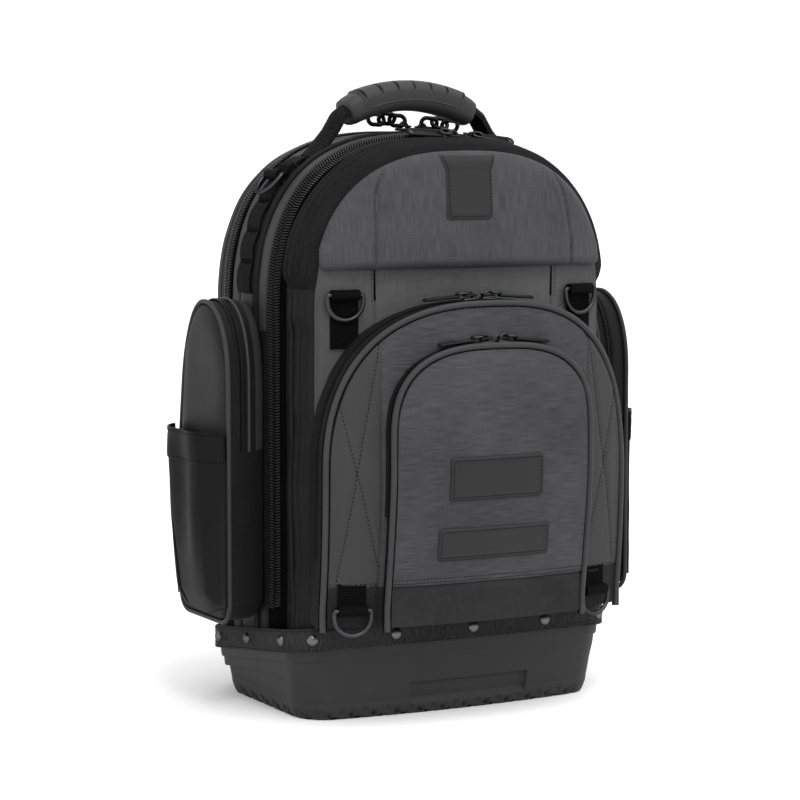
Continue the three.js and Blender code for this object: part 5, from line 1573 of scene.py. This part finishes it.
def back_cushion():
    piece = Piece()
    columns, rows = 86, 108
    half = 116.0
    angle = np.linspace(np.pi, 0, columns)
    x = half * signed_power(np.cos(angle), 0.9)
    shape = dict(half=half, shoulder=330.0, top=446.0, power=2.6)
    top = arch_top(shape, x)
    low = 16 + 26 * np.abs(x / half) ** 4
    t = (1 - np.cos(np.pi * np.linspace(0, 1, rows))) / 2
    z = low[:, None] + (top - low)[:, None] * t[None, :]
    x = np.broadcast_to(x[:, None], z.shape)
    edge = np.minimum(half - np.abs(x), np.minimum(z - low[:, None], top[:, None] - z))
    roll = np.sqrt(np.clip(1 - (1 - np.clip(edge / 14, 0, 1)) ** 2, 0, 1))
    spine = 6.0 * bump(x, 0, 20)
    channels = 0
    for level in (150.0, 262.0, 356.0):
        channels = channels + 5.0 * bump(z, level + 0.0008 * x ** 2, 4.5)
    pads = BACK_THICK - spine - channels
    y = BACK_SEAT + 1.5 + (pads - 1.5) * roll
    points = np.stack([x, y, z], -1)
    points[..., 1] += drift(points, 38, 41) * 0.8 * roll
    piece.slab(points, 2, "padding", inner=np.stack([x, 0 * x + BACK_SEAT, z], -1),
               cloth=np.stack([x + 200, z], -1))
    rim_x = np.r_[arch(shape, 60, 200)[:, 0]]
    rim_z = np.r_[arch(shape, 60, 200)[:, 1]]
    piece.tube(np.stack([rim_x * 0.985, 0 * rim_x + BACK_SEAT + 3.0, rim_z - 1], 1), 2.2,
               "dark_piping", 8)
    obj = piece.build("back_cushion", "foam", ["back_panel"])


back_cushion()


def strap_line(t):
    ease = t * t * (3 - 2 * t)
    seat = BACK_SEAT + BACK_THICK + 0.4
    return (lerp(46.0, 84.0, ease),
            seat + 46.0 * np.sin(np.pi * t * 0.9) ** 0.8,
            lerp(STRAP_TOP, STRAP_FOOT, t))


for s, name in ((-1, "left"), (1, "right")):
    strap = Piece()
    stations, sides = 130, 40
    rings = []
    for t in np.linspace(0.001, 0.999, stations):
        x, y, z = strap_line(t)
        half = 31.0 * lerp(1, 0.6, smooth((t - 0.82) / 0.18))
        thick = 12.0 * min(1, 0.45 + 4 * t, 0.45 + 4 * (1 - t))
        a = np.linspace(0, 2 * np.pi, sides, endpoint=False)
        wide = signed_power(np.cos(a), 0.55)
        high = signed_power(np.sin(a), 0.8)
        groove = 1.2 * bump(np.abs(wide), 0.86, 0.035) * (high > 0)
        rings.append(np.stack([
            s * (x + half * wide), y + thick / 2 + (thick / 2) * high - groove,
            z + 0 * wide,
        ], 1))
    rings = np.array(rings)
    cloth = measure(rings)
    picks = np.full(rings.shape[:2], strap.index("strap_cloth"))
    picks[:, 21:39] = strap.index("padding")
    strap.shell(rings, cloth, picks)
    path = np.array([strap_line(t) for t in np.linspace(0.04, 0.97, 60)])
    lift = 12.0 * np.minimum(1, np.minimum(0.45 + 4 * np.linspace(0.04, 0.97, 60),
                                           0.45 + 4 * (1 - np.linspace(0.04, 0.97, 60))))
    across = np.linspace(-12.5, 12.5, 8)
    outer = np.stack([
        s * (path[:, 0][:, None] + across[None]),
        np.broadcast_to((path[:, 1] + lift + 1.6)[:, None], (60, 8)),
        np.broadcast_to(path[:, 2][:, None], (60, 8)),
    ], -1)
    strap.slab(outer, 1.8, "webbing", inner=outer - [0, 1.8, 0],
               cloth=cloth_across(across + 20, np.linspace(0, 250, 60)))
    obj = strap.build(f"shoulder_pad_{name}", "foam", [f"shoulder_strap_{name}"])

    x, y, z = strap_line(1.0)
    ladder = Piece()
    axes = [(1, 0, 0), (0, 0, 1), (0, 1, 0)]
    top_z = STRAP_FOOT - 0.6
    for bar_z in (top_z - 2.5, top_z - 12.0, top_z - 20.0, top_z - 27.5):
        ladder.block((s * x, y + 4.0, bar_z), axes, (34, 3.6, 5.0), "plastic", 1.1)
    for side in (-1, 1):
        ladder.block((s * x + side * 15.2, y + 4.0, top_z - 15), axes, (3.6, 29.5, 5.5),
                     "plastic", 1.1)
    ladder.build(f"strap_ladder_{name}", "metal", [f"strap_buckle_{name}"])

    lower = Piece()
    t = np.linspace(0, 1, 40)
    px = lerp(x, 99.0, t)
    py = lerp(y + 3.0, BACK_SEAT + BACK_THICK + 1.0, t ** 0.7)
    pz = lerp(top_z - 22, 88.0, t)
    across = np.linspace(-12.5, 12.5, 8)
    level = 0 * across[None]
    outer = np.stack([s * (px[:, None] + across[None]), py[:, None] + level + 1.8,
                      pz[:, None] + level], -1)
    lower.slab(outer, 1.8, "webbing", inner=outer - [0, 1.8, 0],
               cloth=cloth_across(across + 20, t * 60))
    lower.build(f"lower_webbing_cloth_{name}", "webbing", [f"lower_webbing_{name}"])


# Zip pulls


def stadium(centre, along, across, length, width, count=28):
    """A closed loop with two straight sides and round ends."""
    r = width / 2
    straight = length / 2 - r
    points = []
    for k in range(count):
        a = 2 * math.pi * k / count
        shift = straight if math.cos(a) >= 0 else -straight
        points.append(centre + along * (shift + r * math.cos(a)) + across * r * math.sin(a))
    return np.array(points)


def zip_pull(node, seat, along, up, style):
    """Slider with its bridge, and a long pull: a framed bar, a slim bar or a chain of links."""
    along, up = unit(np.array(along, float)), unit(np.array(up, float))
    seat = np.array(seat, float)
    across = np.cross(up, along)
    axes = [along, across, up]
    piece = Piece()
    piece.block(seat + up * 1.4, axes, (14.5, 8.2, 2.4), "metal", 0.9)
    piece.block(seat + up * 4.5 - along * 0.8, axes, (11.5, 7.2, 1.6), "black_metal", 0.6)
    piece.block(seat + up * 3.0 - along * 4.2, axes, (3.2, 5.6, 3.0), "metal", 0.5)
    bridge = [seat + along * (-4 + 8 * k / 12) + up * (5.0 + 3.0 * math.sin(math.pi * k / 12))
              for k in range(13)]
    piece.tube(bridge, 1.15, "metal", 8, up=across)
    if style == "chain":
        for k in range(3):
            tilt = unit(up + across * (0.5 if k % 2 else -0.3))
            link = seat + along * (6.5 + 10.5 * k) + up * (9.0 + 1.2 * math.sin(k * 1.5))
            piece.tube(stadium(link, along, tilt, 15.5, 9.5), 1.9, "black_metal", 8, closed=True,
                       up=np.cross(along, tilt))
        return piece.build(node + "_metal", "metal", [node])
    wide = 7.4 if style == "framed" else 5.0
    ring = seat + along * 6.5 + up * 6.8
    piece.tube(stadium(ring, along, across, 9.5, 6.6), 1.1, "metal", 8, closed=True, up=up)
    bar = seat + along * 26.0 + up * 4.6
    piece.tube(stadium(bar, along, across, 32, wide), 1.3, "black_metal", 8, closed=True, up=up)
    piece.block(bar, axes, (27, wide - 1.6, 1.3), "black_metal", 0.4)
    piece.block(bar + along * 13.5 + up * 0.3, axes, (5.5, wide - 0.4, 2.6), "metal", 0.8)
    return piece.build(node + "_metal", "metal", [node])


def arch_slope(x, inset=0.0):
    return math.atan2(float(arch_top(BODY, x + 0.5, inset) - arch_top(BODY, x - 0.5, inset)), 1.0)


for name, sign in (("left", -1), ("right", 1)):
    for zip_name, middle, y, inset, lean, style in (
        ("front_zip", 30.0, -45.2, 4.2, -0.62, "framed"),
        ("rear_zip", 28.0, REAR_ZIP_Y, 0.0, 0.0, "chain"),
    ):
        x = middle + sign * PULL_GAP
        turn = arch_slope(x)
        flat, lift = math.sqrt(1 - lean * lean), 1.2 if style == "framed" else 2.8
        out = np.array([-flat * math.sin(turn), lean, flat * math.cos(turn)])
        place = np.array([x, y, float(arch_top(BODY, x, inset))]) + out * lift
        zip_pull(f"{zip_name}_pull_{name}", place,
                 (sign * math.cos(turn), 0, sign * math.sin(turn)), out, style)
    for pocket, shape, seat, face in (
        ("big_pocket", BIG, lambda x, z: front_face(x), big_face),
        ("small_pocket", SMALL, big_face, small_face),
    ):
        x = sign * PULL_GAP
        top = float(arch_top(shape, x))
        drop = float(arch_top(shape, x + sign * 34.0)) - top
        y = (float(face(x, shape["top"])) + 2.6 + float(seat(x, shape["top"]))) / 2
        zip_pull(f"{pocket}_pull_{name}", (x, y, top + 0.8), (sign * 34.0, 0, drop),
                 (-drop * sign, 0, 34.0), "slim")

# The panel between the compartments stays as it is, in its own cloth
divider = frame["nodes"]["middle_panel"]
divider.data.materials.clear()
divider.data.materials.append(M["black_cloth"])


# Floor, lights and camera

FLOOR_HALF = 40
PAPER_TONE = 0.8
SKY_STRENGTH = 1.12
CAMERA_YAW = math.radians(28)
CAMERA_PITCH = math.radians(5.45)
CAMERA_DISTANCE = 2.24
CAMERA_LENS = 121.5


floor_mesh = bpy.data.meshes.new("floor")
corners = [(sx * FLOOR_HALF, sy * FLOOR_HALF, 0)
           for sx, sy in ((-1, -1), (1, -1), (1, 1), (-1, 1))]
floor_mesh.from_pydata(corners, [], [(0, 1, 2, 3)])
floor = add_object("floor", floor_mesh)
paper = bpy.data.materials.new("white_paper")
paper.use_nodes = True
matte = paper.node_tree.nodes["Principled BSDF"]
matte.inputs["Base Color"].default_value = (PAPER_TONE, PAPER_TONE, PAPER_TONE, 1)
matte.inputs["Roughness"].default_value = 0.8
floor_mesh.materials.append(paper)

world = bpy.data.worlds.new("studio")
bpy.context.scene.world = world
world.use_nodes = True
world.node_tree.nodes["Background"].inputs["Color"].default_value = (1, 1, 1, 1)
world.node_tree.nodes["Background"].inputs["Strength"].default_value = SKY_STRENGTH


def soft_sun(name, way, strength, spread):
    data = bpy.data.lights.new(name, "SUN")
    data.energy = strength
    data.angle = math.radians(spread)
    lamp = add_object(name, data)
    lamp.location = way
    lamp.rotation_mode = "QUATERNION"
    lamp.rotation_quaternion = Vector(way).to_track_quat("Z", "Y")


soft_sun("soft_top", (0.25, -0.55, 1.0), 2.4, 80)
soft_sun("soft_left", (-1.0, -0.45, 0.6), 0.3, 40)
soft_sun("glint", (-0.2, -0.7, 0.9), 0.7, 12)

yaw, pitch = CAMERA_YAW, CAMERA_PITCH
away = np.array([-math.sin(yaw) * math.cos(pitch), -math.cos(yaw) * math.cos(pitch),
                 math.sin(pitch)])
aim = np.array([-0.056, -0.1 + SHIFT_Y / 1000, 0.265])
camera_data = bpy.data.cameras.new("camera")
camera_data.lens = CAMERA_LENS
camera_data.sensor_width = 36
camera = add_object("camera", camera_data)
camera.location = aim + away * CAMERA_DISTANCE
camera.rotation_mode = "XYZ"
camera.rotation_euler = (math.pi / 2 - pitch, 0, -yaw)
bpy.context.scene.camera = camera
bpy.context.scene.view_settings.view_transform = "Standard"
